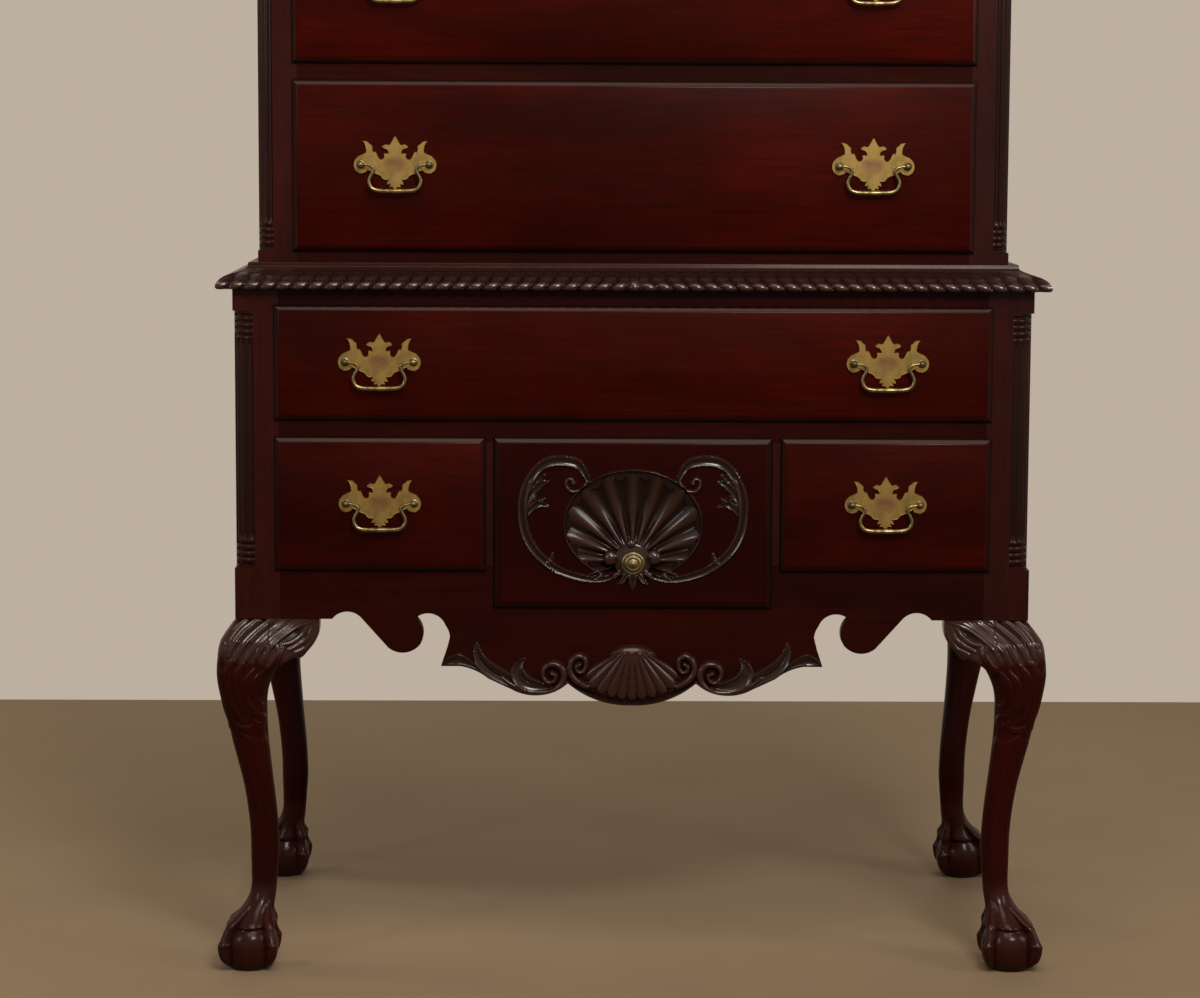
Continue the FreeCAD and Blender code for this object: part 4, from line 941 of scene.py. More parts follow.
@dataclass
class Carcass:
    """Posts, rails, dividers and case boards of both cases, and the boards that are kept."""

    shop: Workshop

    def build(self) -> None:
        """Makes rails and frame, and dresses the boards that are kept."""
        self._lower_rails()
        self._upper_frame()
        for node in ("lower_sides", "upper_sides"):
            self.shop.dress(node, Palette.side)
        for node in ("lower_runners", "upper_runners"):
            self.shop.dress(node, Palette.inside_y)
        self.shop.dress("back_boards", Palette.inside_z)

    def _lower_rails(self) -> None:
        """Makes the lower case's rails and dividers."""
        p = Place
        rails = Surface()
        for low, high in ((p.long_top, p.case_top), (p.small_top, p.long_sill)):
            ends = (-p.opening_half, p.front, low), (p.opening_half, p.board_back, high)
            rails.board(*ends, p.rail_ease)
        self.shop.put("lower_rails_front", rails, Palette.rail, replaces=["lower_rails"])
        dividers = Surface()
        for side in (-1, 1):
            x0, x1 = sorted((side * p.shell_half, side * p.partition_out))
            ends = (x0, p.front, p.side_sill), (x1, p.apron_back, p.small_top)
            dividers.board(*ends, p.rail_ease)
        self.shop.put("lower_dividers", dividers, Palette.stile)

    def _upper_frame(self) -> None:
        """Makes the upper case's posts, rails and inner boards."""
        p = Place
        posts = Surface()
        levels = (p.case_top, *p.upper_column, p.upper_top)
        rings = notched_post(p.upper_stile, p.upper_notch, levels)
        for half in both_sides(rings + np.array([-p.upper_half, p.upper_front, 0.0])):
            posts.loft(half)
        for side in (-1, 1):
            x0, x1 = sorted((side * p.top_shell_half, side * p.top_partition))
            low, high = (x0, p.upper_front, p.upper_sills[3]), (x1, p.upper_front + p.front_board,
                                                                p.row_top)
            posts.board(low, high, p.rail_ease)
        self.shop.put("upper_posts", posts, Palette.stile, replaces=["upper_frame"])
        rails = Surface()
        levels = [(p.case_top, p.upper_sills[0])]
        levels += [(sill - p.upper_rail, sill) for sill in p.upper_sills[1:]]
        levels.append((p.row_top, p.upper_top))
        for low, high in levels:
            ends = (-p.upper_opening, p.upper_front, low), (p.upper_opening, p.upper_back, high)
            rails.board(*ends, p.rail_ease)
        self.shop.put("upper_rails", rails, Palette.rail)
        inside = Surface()
        for low in (p.case_top, p.upper_top - p.case_board):
            high = low + p.case_board
            inside.board((-p.inner_half, p.upper_back, low), (p.inner_half, p.inner_back, high))
        self.shop.put("upper_case_boards", inside, Palette.inside_x)


@dataclass(frozen=True)
class QuarterColumn:
    """A fluted quarter column with turned ends."""

    centre: Point2
    radius: float
    low: float
    high: float
    turning: float
    flutes: int = 4
    depth: float = 2.6
    slim: float = 0.93
    flute_ends: tuple[float, ...] = (0.5, 2.0, 4.0, 6.0, 8.0, 10.0)
    flute_rounding: float = 9.0

    def ends(self) -> list[Point2]:
        """The outline of one turned end.

        Returns:
            Radius and height over the foot, from the foot up.
        """
        full, slim, tall = self.radius, self.slim * self.radius, self.turning
        groove = 0.85 * full
        rows = [(full, 0.0), (full, 0.10 * tall), (groove, 0.15 * tall)]
        for middle in (0.29, 0.53, 0.77):
            for k in range(7):
                angle = math.pi * k / 6
                swell = groove + (full - groove) * math.sin(angle) ** 0.7
                rows.append((swell, (middle - 0.105 * math.cos(angle)) * tall))
            rows.append((groove, (middle + 0.12) * tall))
        rows.append((0.97 * slim, 0.92 * tall))
        rows.append((slim, tall))
        return rows

    def add_to(self, surface: Surface, side: int) -> None:
        """Adds the column to a surface.

        Args:
            surface: The surface.
            side: -1 for the left column and 1 for the right one.
        """
        across = 12 * self.flutes
        share = np.linspace(0, self.flutes, across + 1)
        angle = math.pi + share / self.flutes * math.pi / 2
        slim = self.slim * self.radius
        low = [(r, self.low + h) for r, h in self.ends()]
        high = [(r, self.high - h) for r, h in self.ends()][::-1]
        shaft_low, shaft_high = self.low + self.turning, self.high - self.turning
        shaft = [(slim, shaft_low + s) for s in self.flute_ends]
        shaft += [(slim, shaft_high - s) for s in self.flute_ends[::-1]]
        rows, hollows = [], []
        for radius, z in low + shaft + high:
            reach = min(z - shaft_low, shaft_high - z)
            ended = max(0.0, 1 - reach / self.flute_rounding)
            fade = math.sqrt(max(0.0, 1 - ended**2)) if reach > 0 else 0.0
            cut = half_round((share % 1 - 0.5) / 0.39) * fade
            far = radius - self.depth * cut
            x = self.centre[0] + far * np.cos(angle)
            y = self.centre[1] + far * np.sin(angle)
            rows.append(np.stack([x * -side, y, np.full_like(x, z)], 1))
            # Flutes and the turned ends' grooves get painted shade, as values below 0.
            groove = -0.9 if radius < 0.9 * self.radius else 0.0
            hollows.append(-0.7 * cut if fade else np.full_like(x, groove))
        surface.grid(np.array(rows), hollow=np.array(hollows))


@dataclass
class Columns:
    """The four quarter columns."""

    shop: Workshop

    def build(self) -> None:
        """Makes the columns as one piece."""
        p = Place
        lower = QuarterColumn((-487.0, -246.5), p.lower_notch, *p.lower_column, turning=35.0)
        upper = QuarterColumn((-462.5, -222.0), p.upper_notch, *p.upper_column, turning=34.0)
        surface = Surface()
        for column in (lower, upper):
            for side in (-1, 1):
                column.add_to(surface, side)
        self.shop.put("quarter_columns_turned", surface, Palette.column,
                      replaces=["quarter_columns"])


# ---- waist moulding
@dataclass
class WaistMoulding:
    """The gadrooned moulding on top of the lower case."""

    shop: Workshop
    pitch: float = 20.4
    lean: float = 15.0
    bead: float = 7.5
    corner: float = 50.5
    tall: float = 22
    front_steps: int = 1067
    side_steps: int = 563
    underside: Strip = ((0.0, 890.0, 0.0), (38.0, 890.0, 0.0), (45.0, 890.0, 1.6),
                        (48.6, 890.6, 3.4))
    neck: Strip = (
        (20.6, 912.9, 1.3), (17, 914.4, 0.8), (14.4, 916, 0.3), (12.7, 917.4, 0), (11.9, 918.8, 0),
        (11.9, 921.9, 0), (11.4, 922.8, 0), (10.4, 923.2, 0), (0, 923.2, 0),
    )

    def section(self) -> tuple[Array, Array]:
        """The moulding's section.

        Returns:
            Distance out and height, and how deep the grooves are there.
        """
        rows = list(self.underside)
        for k in range(15):
            angle = 0.43 * math.pi * k / 14
            groove = 5.4 - 3.8 * (k / 14) ** 0.7
            rows.append((17.4 + 33.1 * math.cos(angle), 893.0 + 18.6 * math.sin(angle), groove))
        rows = np.array(rows + list(self.neck))
        return rows[:, :2], rows[:, 2]

    def lobes(self, along: Array, up: Array, middle: bool) -> Array:
        """How far each place lies below the top of its gadroon.

        Args:
            along: Distance along the moulding.
            up: Place on its section, 0 at the foot.
            middle: Whether a bead stands in the middle.

        Returns:
            0 on a gadroon's top and 1 in the groove beside it.
        """
        phase = (np.abs(along) + self.lean * up**1.8) / self.pitch + 0.5
        cut = 1 - half_round(2 * (phase % 1) - 1)
        cut = cut + 0.42 * np.exp(-(((up - 0.62) / 0.15) ** 2))
        if middle:
            bead = np.abs(along) / self.bead
            cut = np.where(bead < 1, 1 - half_round(bead), cut)
        return cut

    @staticmethod
    def depth(cut: Array, deep: Array, up: Array) -> Array:
        """How hollow the moulding is: crest colour with painted highlight on the bulbs, painted
        shade towards their stems.

        Args:
            cut: Depth under the section in mm.
            deep: The section's groove depths.
            up: As for lobes.

        Returns:
            From 0, where it is plain, to 1.
        """
        # Painted shade, deeper up the stems and in the grooves.
        stem_shade = 0.40 * smooth_step(up, 0.5, 0.9)[None]
        carved = 0.22 + 0.78 * np.maximum(smooth_step(cut, 0.5, 2.6), stem_shade)
        return carved * smooth_step(deep, 0.2, 1.0)[None]

    def build(self) -> None:
        """Makes the front run and the two side runs as one piece."""
        section, deep = self.section()
        along = np.gradient(section, axis=0)
        out = np.stack([along[:, 1], -along[:, 0]], 1)
        out /= np.linalg.norm(out, axis=1)[:, None]
        up = np.clip((section[:, 1] - Place.case_top) / self.tall, 0, 1)

        def carved(along: Array, end: Array, middle: bool) -> tuple[Array, ...]:
            """Depth, distance out and height along a run, plain at its mitre."""
            cut = self.lobes(along, up[None], middle) * deep[None] * smooth_step(end, 0, 5)
            return cut, *(section[None, :, k] - cut * out[None, :, k] for k in (0, 1))

        surface = Surface()
        half, front, back = Place.upper_half, Place.upper_front, Place.back
        share = np.linspace(-1, 1, self.front_steps)[:, None]
        cut, reach, z = carved(share * (half + section[None, :, 0]), (1 - np.abs(share)) * half,
                               True)
        rows = np.stack([share * (half + reach), front - reach, z], -1)
        surface.grid(rows, hollow=self.depth(cut, deep, up))
        share = np.linspace(0, 1, self.side_steps)[:, None]
        along = (front - section[None, :, 0]) * (1 - share) + back * share - front
        along = along + self.corner + 0.5 * self.pitch
        cut, reach, z = carved(along, share * (back - front), False)
        y = (front - reach) * (1 - share) + back * share
        for rows in both_sides(np.stack([half + reach, y, z], -1)):
            surface.grid(rows, hollow=self.depth(cut, deep, up))
        self.shop.put("waist_gadroons", surface, Palette.carved, replaces=["waist_moulding"])


# ---- pediment
@dataclass
class Pediment:
    """Cornice, swan necks, rosettes, bonnet and finials."""

    shop: Workshop
    tall: float = 58.0
    neck_rise: float = 262.0
    neck_start: float = -430.5
    neck_end: float = -118.0
    rosette_radius: float = 44.0
    well: float = 120
    skin: float = 8
    section: Line = (
        (0, 0), (6, 0), (6.8, 1.6), (7.2, 4), (6.8, 6.6), (6, 8.4), (7.6, 9), (8.8, 12.8),
        (9.4, 16), (11, 19.4), (13.6, 22.2), (17.2, 24), (17.6, 26.6), (20.2, 27.4), (20.2, 33),
        (22.6, 33.8), (26.6, 35.2), (31.4, 37.6), (35.4, 40.2), (38.6, 42.6), (41.6, 44.2),
        (44, 46.2), (44, 57.2), (43.2, 58), (0, 58),
    )
    rosette: Line = (
        (0, 1), (0.12, 0.98), (0.22, 0.88), (0.27, 0.7), (0.34, 0.72), (0.6, 0.82), (0.8, 0.8),
        (0.86, 0.84), (0.94, 0.82), (1, 0.66),
    )
    rosette_thick: float = 30
    plinth_half: float = 23
    plinth_cap: float = 26.0
    flame: Line = (
        (0, 9), (0.08, 13), (0.22, 16.5), (0.36, 16.5), (0.5, 14.5), (0.78, 8), (0.95, 3),
        (1, 0.8),
    )

    def neck(self, share: float) -> tuple[Point2, Point2]:
        """A place on the left swan neck's lower edge.

        Args:
            share: How far along the neck, from 0 to 1.

        Returns:
            The place, and the direction there.
        """
        start, end = self.neck_start, self.neck_end
        run = end - start
        low, high = Place.upper_top, Place.upper_top + self.neck_rise
        bends = (start + 0.42 * run, low), (start + 0.58 * run, high)
        points = np.array([(start, low), *bends, (end, high)])
        rest = 1 - share
        weights = np.array([rest**3, 3 * rest**2 * share, 3 * rest * share**2, share**3])
        slopes = np.array([rest**2, 2 * rest * share, share**2])
        way = slopes @ np.diff(points, axis=0)
        return weights @ points, way / np.linalg.norm(way)

    def top_edge(self) -> Array:
        """The left half of the pediment board's upper edge.

        Returns:
            Rows of x and z, from the outside in.
        """
        cover = 0.8 * self.tall
        edge = [(-Place.upper_half, Place.upper_top), (-Place.upper_half, Place.upper_top + cover)]
        for share in np.linspace(0, 1, 41):
            (x, z), (run, rise) = self.neck(share)
            edge.append((x - rise * cover, z + run * cover))
        end = 1.6 * self.rosette_radius + self.neck_end
        top = Place.upper_top + self.neck_rise + cover
        edge += [(end, top), (end - 8, top - 60), (-self.plinth_cap, top - self.well)]
        return np.array(edge)

    def build(self) -> None:
        """Makes the pieces."""
        self._cornice()
        self._rosettes()
        self._bonnet()
        self._finials()

    def _cornice(self) -> None:
        """Makes the side cornices and the swan necks."""
        front, half, top = Place.upper_front, Place.upper_half, Place.upper_top
        section = np.array(self.section)
        corner = np.array([(-half - d, front - d, top + h) for d, h in section])
        rings = [corner]
        for share in np.linspace(0, 1, 49):
            (x, z), (run, rise) = self.neck(share)
            rings.append(np.array([(x - rise * h, front - d, z + run * h) for d, h in section]))
        side = corner.copy()
        side[:, 1] = Place.back
        surface = Surface()
        for made in (np.array(rings), np.array([corner, side])):
            for rows in both_sides(made):
                surface.loft(rows)
        self.shop.put("cornice_moulded", surface, Palette.carved, replaces=["cornice"], sharp=30)

    def _rosettes(self) -> None:
        """Makes the two carved rosettes at the necks' ends."""
        radius = np.linspace(0.01, 1, 46)[:, None]
        angle = np.linspace(0, 2 * math.pi, 180, endpoint=False)[None]
        depth = np.interp(radius, *zip(*self.rosette))
        band = smooth_step(radius, 0.28, 0.36) * (1 - smooth_step(radius, 0.76, 0.82))
        petal = np.abs(np.cos(4 * angle + 0 * radius))
        depth = depth - band * (0.16 * (1 - petal**0.45) + 0.06 * (1 - np.abs(np.cos(20 * angle))))
        # Painted shade between the petals.
        hollow = np.clip(band * (1 - petal**0.45) * 1.2, 0, 1)
        reach = self.rosette_radius * radius
        x, z = reach * np.cos(angle), reach * np.sin(angle)
        front = Place.upper_front
        face = np.stack([x, front - self.rosette_thick * depth, z], -1)
        rim = face[-1:] * np.array([1, 0, 1]) + np.array([0, front, 0])
        rows = np.concatenate([face, rim]) + np.array([self.neck_end + self.rosette_radius, 0, 0])
        rows[..., 2] += Place.upper_top + self.neck_rise + 0.45 * self.tall
        surface = Surface()
        for made in both_sides(rows):
            surface.grid(made, around=True, hollow=np.concatenate([hollow, hollow[-1:]]))
        self.shop.put("rosettes", surface, Palette.carved)

    def _bonnet(self) -> None:
        """Makes the pediment board, the hollow roof behind it and its rear board."""
        edge = self.top_edge()
        outline = np.concatenate([edge, edge[::-1] * np.array([-1, 1])])
        front, back, skin = Place.upper_front, Place.back, self.skin
        inside = front + Place.front_board
        board = Surface()
        board.slab(outline, front, inside)
        self.shop.put("pediment_board", board, Palette.rail, replaces=["bonnet"])
        outer = edge[1:]
        way = np.gradient(outer, axis=0)
        way /= np.linalg.norm(way, axis=1)[:, None]
        inner = outer + skin * np.stack([way[:, 1], -way[:, 0]], 1)
        inner[0], inner[-1] = outer[0] - (0, skin), outer[-1] - (0, skin)
        roof, ease = Surface(), 0.05
        for side in (1, -1):
            half = np.concatenate([outer, inner[::-1]]) * np.array([side, 1])
            roof.slab(half, inside, back, ease)
            x0, x1 = sorted((side * Place.upper_half, side * (Place.upper_half - skin)))
            roof.board((x0, inside, Place.upper_top), (x1, back, outer[0][1] - skin), ease)
        cap, level = self.plinth_cap, outer[-1][1]
        roof.board((-cap, inside, level - skin), (cap, back, level), ease)
        self.shop.put("bonnet_roof", roof, Palette.roof, sharp=25)
        rear = Surface()
        foot = skin - Place.upper_half
        left = np.concatenate([[(foot, Place.upper_top), (foot, inner[0][1])], inner[1:]])
        whole = np.concatenate([left, left[::-1] * np.array([-1, 1])])
        rear.slab(whole, back - Place.front_board, back)
        self.shop.put("bonnet_rear_board", rear, Palette.inside_x)

    def _finials(self) -> None:
        """Makes the two outer finials and the middle one."""
        surface = Surface()
        top = Place.upper_top
        for side in (-1, 1):
            self._finial(surface, (side * 494.5, -254.0, top + self.tall), 62.0, 168.0)
        well = top + self.neck_rise + 0.8 * self.tall - self.well
        self._finial(surface, (0.0, Place.upper_front + self.plinth_cap, well), 96.0, 205.0)
        self.shop.put("finials_turned", surface, Palette.carved, replaces=["finials"], sharp=50)

    def _finial(self, surface: Surface, foot: Point3, plinth: float, height: float) -> None:
        """Adds one finial: plinth, urn and twisted flame.

        Args:
            surface: The surface.
            foot: Middle of its underside.
            plinth: Height of the plinth.
            height: Height of urn and flame.
        """
        x, y, z = foot
        for half, low, high, ease in (
            (self.plinth_half, 0, plinth - 5, 0.7), (self.plinth_cap, 0, 8, 1.5),
            (self.plinth_cap, plinth - 7, plinth, 2.0),
        ):
            surface.board((x - half, y - half, z + low), (x + half, y + half, z + high), ease)
        urn = 0.42 * height
        outline = smooth_line([(15.5, 0), (16, 0.03), (15.5, 0.06), (9, 0.1), (6.5, 0.16),
                               (7, 0.2)], 4)
        body = smooth_line([(9, 0.22), (15, 0.32), (21, 0.46), (25, 0.66), (24.6, 0.76),
                            (23, 0.80)], 5)
        neck = smooth_line([(23, 0.82), (16, 0.85), (11, 0.9), (11.5, 0.95), (12.5, 1.0)], 4)
        rows = np.concatenate([[(0.05, 0)], outline, body, [(25, 0.80), (25, 0.815)], neck,
                               [(0.05, 1.0)]])
        surface.lathe(rows * np.array([1, urn]), (x, y, z + plinth), (0, 0, 1))
        share = np.linspace(0, 1, 46)[:, None]
        angle = np.linspace(0, 2 * math.pi, 48, endpoint=False)[None]
        size = np.interp(share, *zip(*self.flame))
        wave = 1 + 0.16 * np.cos(5 * angle + 7.5 * share)
        lick = 1.6 * np.sin(2 * math.pi * share)
        flame = height - urn
        rings = np.stack([
            x + size * wave * np.cos(angle) + lick, y + size * wave * np.sin(angle) + 0 * share,
            z + plinth + urn + flame * share + 0 * angle,
        ], -1)
        # Painted shade in the flame's grooves.
        surface.loft(rings, hollow=np.clip((1.05 - wave) * 5, 0, 0.8))


# ---- legs
LEAF_STRANDS = (
    (((14, 463), (0, 452), (-10, 437), (-15, 420), (-16, 398)), (3, 4.6, 4.9, 4.3, 2.2),
        (2, 3, 3.2, 2.8, 1.2)),
    (((30, 464), (11.8, 451.7), (-0.2, 436.7), (-7, 418)), (3.2, 4.9, 4.9, 2.7),
        (2.2, 3.2, 3.2, 1.6)),
    (((48, 464), (28, 450.2), (11.6, 433.7), (1.5, 409)), (3.2, 4.9, 5.1, 2.7),
        (2.2, 3.2, 3.2, 1.6)),
    (((68, 464), (45.7, 450.2), (27.8, 433.7), (16.5, 412)), (3.2, 4.9, 5.1, 2.7),
        (2.2, 3.2, 3.2, 1.6)),
    (((88, 465), (64.9, 451.8), (45.6, 438.3), (32.2, 424.8), (28.5, 404)),
        (3.2, 4.9, 5.1, 4.3, 2.2), (2.2, 3.2, 3.2, 2.8, 1.4)),
    (((109, 464), (81.1, 456.3), (57.4, 441.3), (45.5, 429.3), (40, 414)),
        (3.2, 5.1, 5.1, 4.3, 2.2), (2.2, 3.2, 3.2, 2.8, 1.4)),
    (((62, 428), (58, 417), (48, 404), (37, 396)), (3.2, 5.1, 4.3, 1.9), (2, 3.2, 2.8, 1.2)),
    (((54.4, 433.8), (58.3, 421.8), (51.2, 408.8), (41, 404)), (2.7, 4.1, 3.5, 1.9),
        (2, 3, 2.6, 1.2)),
    (((40, 400), (30, 388), (25, 372), (30, 358), (37, 352)), (2.2, 4.6, 5.1, 3.8, 1.9),
        (1.4, 3, 3.2, 2.8, 1.2)),
    (((28, 402), (17, 386), (13, 368), (19, 352), (29, 344)), (2.4, 5.1, 5.4, 4.1, 1.9),
        (1.6, 3.2, 3.4, 2.8, 1.2)),
    (((12, 408), (3, 392), (2, 372), (9, 354), (20, 342)), (2.7, 5.4, 5.7, 4.6, 2.2),
        (1.8, 3.4, 3.4, 3, 1.4)),
    (((-2, 412), (-9, 394), (-9, 370), (-1, 346), (11, 330)), (2.7, 5.4, 5.9, 4.9, 2.2),
        (1.8, 3.4, 3.6, 3.2, 1.4)),
    (((-14, 402), (-18, 384), (-15, 358), (-6, 332), (6, 314)), (2.4, 4.9, 5.4, 4.6, 2.2),
        (1.6, 3.2, 3.4, 3, 1.2)),
    (((-20, 372), (-16, 346), (-7, 320), (8, 302)), (2.2, 4.3, 4.3, 1.9), (1.4, 3, 3, 1)),
    (((27, 341), (35, 337), (36, 329), (29, 326), (25, 331)), (3, 4.1, 4.1, 3.5, 2.7),
        (2.4, 3.2, 3.4, 3, 2.4)),
    (((-6, 330), (6, 322), (18, 321), (27, 327)), (1.9, 4.3, 4.3, 2.4), (1.4, 3, 3.2, 2.2)),
    (((2, 316), (13, 308), (25, 301.5)), (1.9, 4.1, 2.2), (1.4, 2.8, 1.6)),
)
ROUND_STRANDS = (
    (((109, 458), (104.6, 441.4), (95.7, 427.9), (79.4, 420.6)), (3.8, 5.7, 5.7, 3.2),
        (2.2, 3.4, 3.4, 1.6)),
    (((101.8, 456.4), (95.8, 441.4), (85.4, 432.4), (71, 425.4)), (2.7, 4.3, 4.3, 2.2),
        (1.8, 3, 3, 1.4)),
    (((92.9, 453.4), (85.5, 442.9), (75.1, 435.4), (62, 432.8)), (2.4, 4.1, 4.1, 2.2),
        (1.6, 2.8, 2.8, 1.4)),
)
KNEE_STROKES = (
    *(Stroke(*row, Cut.VEINED) for row in LEAF_STRANDS),
    *(Stroke(*row) for row in ROUND_STRANDS),
)
# Depth in mm of the ground between the knee's strands.
KNEE_CUT = 2.9


def knee_cut(relief: Relief, z: Array, share: Array) -> Array:
    """How deep the ground between the knee's strands lies.

    Args:
        relief: The strands.
        z: Each point's height over the floor.
        share: How much of the full depth each point gets, from 0 to 1.

    Returns:
        Depth in mm at each point, less on the lower knee.
    """
    relief.carve(KNEE_STROKES)
    ground = KNEE_CUT - np.minimum(softened(relief.height), KNEE_CUT)
    return ground * share * (0.62 + 0.38 * smooth_step(z, 372, 422))


@dataclass(frozen=True)
class Cabriole:
    """A cabriole leg with a ball-and-claw foot, seen from its outer corner at x = 0, y = 0."""

    columns: int
    rows: Array
    carved: bool
    outer: Line = (
        (78, 10), (94.5, 13.4), (108.3, 15.3), (144.9, 14.9), (180.4, 14.2), (213.4, 11.2),
        (246.5, 6.2), (275.1, -0.1), (305.8, -7.3), (338.5, -15.6), (362.7, -20.8), (384.5, -24.3),
        (404.1, -25.4), (419.4, -24.5), (434.6, -20.1), (445.6, -12.9), (456, -5), (463.9, 0),
    )
    inner: Line = (
        (78, 48), (92.3, 47.3), (109.2, 48.6), (133.9, 50.6), (154, 52), (165.9, 51.8),
        (194.7, 50.4), (225.6, 47.8), (254.4, 44.9), (287.5, 41.9), (313.9, 39.9), (342.4, 39.4),
        (360, 39.8), (375.4, 42.6), (391.2, 48.9), (404, 56), (416, 58), (463.9, 58.5),
    )
    ball: Line = (
        (0, 24), (2.5, 28.4), (6, 31.4), (12, 34.4), (20, 36.4), (30, 37.2), (40, 35.8), (49, 32),
        (57, 25.5), (64, 14),
    )
    web: Line = (
        (53, 25), (57, 31), (61, 29.8), (67, 26), (75, 21.6), (85, 18.6), (96, 17.4), (118, 17),
    )
    claw: Strip = (
        (4, 32, 1), (8, 36, 2.2), (12, 40.4, 3.6), (17, 43.6, 4.8), (24, 45.8, 5.4),
        (31, 46.6, 5.8), (36, 46.2, 6.2), (41, 44, 5.2), (48, 41, 4.6), (54, 38.4, 5), (59, 36, 6),
        (63, 33, 6.4), (68, 28, 6), (75, 21.8, 5.4), (84, 15.2, 4.8), (94, 10.4, 4.4),
        (104, 7, 4.2),
    )
    corners: Line = (
        (100, 2.1), (200, 2.25), (300, 2.5), (370, 2.9), (430, 4.2), (458, 9), (463.9, 24),
    )
    foot_middle: float = 14.0
    blend: float = 0.8

    @classmethod
    def limits(cls, z: Array) -> tuple[Array, Array]:
        """How far the shaft's outer and inner faces lie inward of the corner."""
        outer, inner = (smooth_line(places, 6) for places in (cls.outer, cls.inner))
        return np.interp(z, *outer.T), np.interp(z, *inner.T)

    def shaft(self, z: Array, angle: Array) -> tuple[Array, Array]:
        """The shaft: round below, square at the case.

        Args:
            z: Heights over the floor.
            angle: Directions around the leg.

        Returns:
            Its middle, and its radius in each direction.
        """
        outer, inner = self.limits(z)
        power = np.interp(z, *zip(*self.corners))
        size = (inner - outer) / 2
        across = np.abs(np.cos(angle)) ** power + np.abs(np.sin(angle)) ** power
        return (inner + outer) / 2, size / across ** (1 / power)

    @classmethod
    def foot(cls, z: Array, angle: Array) -> Array:
        """The foot: ball, web and four claws, blended.

        Args:
            z: As for shaft.
            angle: As for shaft.

        Returns:
            Its radius around the ball's middle.
        """
        ball = np.interp(z, *smooth_line(cls.ball, 6).T, right=0.0)
        web = np.interp(z, *smooth_line(cls.web, 6).T, left=0.0)
        turn = angle % (math.pi / 2) - math.pi / 4
        web = web * (1 - 0.06 * np.cos(4 * turn) * smooth_step(z, 112, 60))
        level, reach, width = smooth_line(cls.claw, 6).T
        far = np.interp(z, level, reach, left=0.0)
        wide = np.interp(z, level, width, left=0.01)
        aside = far * np.sin(turn)
        crown = far * np.cos(turn) + np.sqrt(np.maximum(0, wide**2 - aside**2))
        claw = np.where(np.abs(aside) < wide, crown, 0)
        total = np.zeros_like(turn)
        for part in (ball, web, claw):
            total = total + np.exp(np.minimum((part + 0 * turn) / cls.blend, 80))
        return cls.blend * np.log(total)

    def net(self) -> tuple[Array, Array]:
        """The leg's skin from the floor to the case.

        Returns:
            Points by height and direction, and how hollow each is.
        """
        z = self.rows[:, None]
        angle = np.linspace(0, 2 * math.pi, self.columns, endpoint=False)[None] + math.pi / 4
        middle, shaft = self.shaft(z, angle)
        foot = self.foot(z, angle)
        share = smooth_step(z, 80, 106)
        centre = self.foot_middle + (middle - self.foot_middle) * smooth_step(z, 44, 100)
        radius = foot * (1 - share) + shaft * share
        a = centre + radius * np.cos(angle)
        b = centre + radius * np.sin(angle)
        z = z + 0 * angle
        # The foot gets a little of the crest colour, with its painted highlight, and more coat.
        hollow = 0.07 * smooth_step(z, 130, 100)
        if self.carved:
            reach = np.maximum(a, b)
            relief = Relief(reach, z)
            outer, _ = self.limits(z)
            zone = smooth_step(z, 300, 312) * (1 - smooth_step(np.minimum(a, b) - outer, 16, 26))
            cut = knee_cut(relief, z, zone)
            inward = [part * np.abs(part) ** 4 for part in (np.cos(angle), np.sin(angle))]
            length = np.hypot(*inward)
            a = a - cut * inward[0] / length
            b = b - cut * inward[1] / length
            # Upper knee: crest colour with painted highlight on the strands, painted shade in the
            # cut ground.
            carved = smooth_step(z, 400, 452) * (zone > 0.5)
            # Lower knee: painted shade along the strands' edges, as values below 0.
            edge = smooth_step(relief.height, 0.0,
                               0.4) * (1 - smooth_step(relief.height, 0.6, 2.0))
            shaded_outline = hollow - 0.9 * edge * zone
            hollow = np.where(carved > 0.03, carved * np.maximum(0.22, cut / 3.0), shaded_outline)
        return np.stack([a, b, z], -1), hollow


@dataclass(frozen=True)
class KneeBracket:
    """A bracket that carries the knee's curve on beside the leg, q mm inward of the corner."""

    carved: bool
    edge: Line = (
        (40, 387), (46, 389), (48.9, 391.2), (53.2, 398.8), (61.8, 406.5), (74.8, 414.1),
        (85, 413.6), (94.1, 422.8), (102.6, 433.7), (108.1, 446.6), (109.3, 461),
    )
    furthest: float = 25.3
    behind: float = -20.0

    def rings(self) -> tuple[Array, Array]:
        """Closed rings across the bracket.

        Returns:
            Rows of q, distance in front of the case and z, and how hollow each place is.
        """
        q = np.linspace(40, 109, 88)[:, None]
        low = np.interp(q, *smooth_line(self.edge, 6).T)
        share = np.linspace(0, 1, 88)[None] ** 1.15
        z = low + (Place.case_low - low) * share
        outer, _ = Cabriole.limits(z)
        fade = 1 - smooth_step(q, 40, 112) * 0.97
        proud = np.minimum(-outer * fade + 1.4 * smooth_step(q, 40, 46) - 0.7, self.furthest)
        ease = 16.0 - 12.0 * smooth_step(q, 43, 64)
        proud = proud - ease * (1 - np.minimum((z - low) / ease, 1)) ** 2
        cut = np.zeros_like(proud)
        if self.carved:
            cut = knee_cut(Relief(q + 0 * z, z), z, 0.35 + 0.65 * smooth_step(proud, 0, 7))
            cut = cut * smooth_step(z, 464, 461)
        proud = np.maximum(proud - cut, -4.0)
        front = np.stack([q + 0 * z, proud, z], -1)
        rings = [front]
        for level in (np.full(len(q), Place.case_low), low[:, 0]):
            behind = np.stack([q[:, 0], np.full(len(q), self.behind), level], -1)
            rings.append(behind[:, None])
        rings = np.concatenate(rings, 1)
        # Crest colour with painted highlight on the strands, painted shade in the cut ground.
        hollow = np.maximum(cut / 3.0, 0.22) * smooth_step(z, 400, 452) * self.carved
        hollow = np.concatenate([hollow, np.zeros((len(q), 2))], 1)
        return rings, hollow


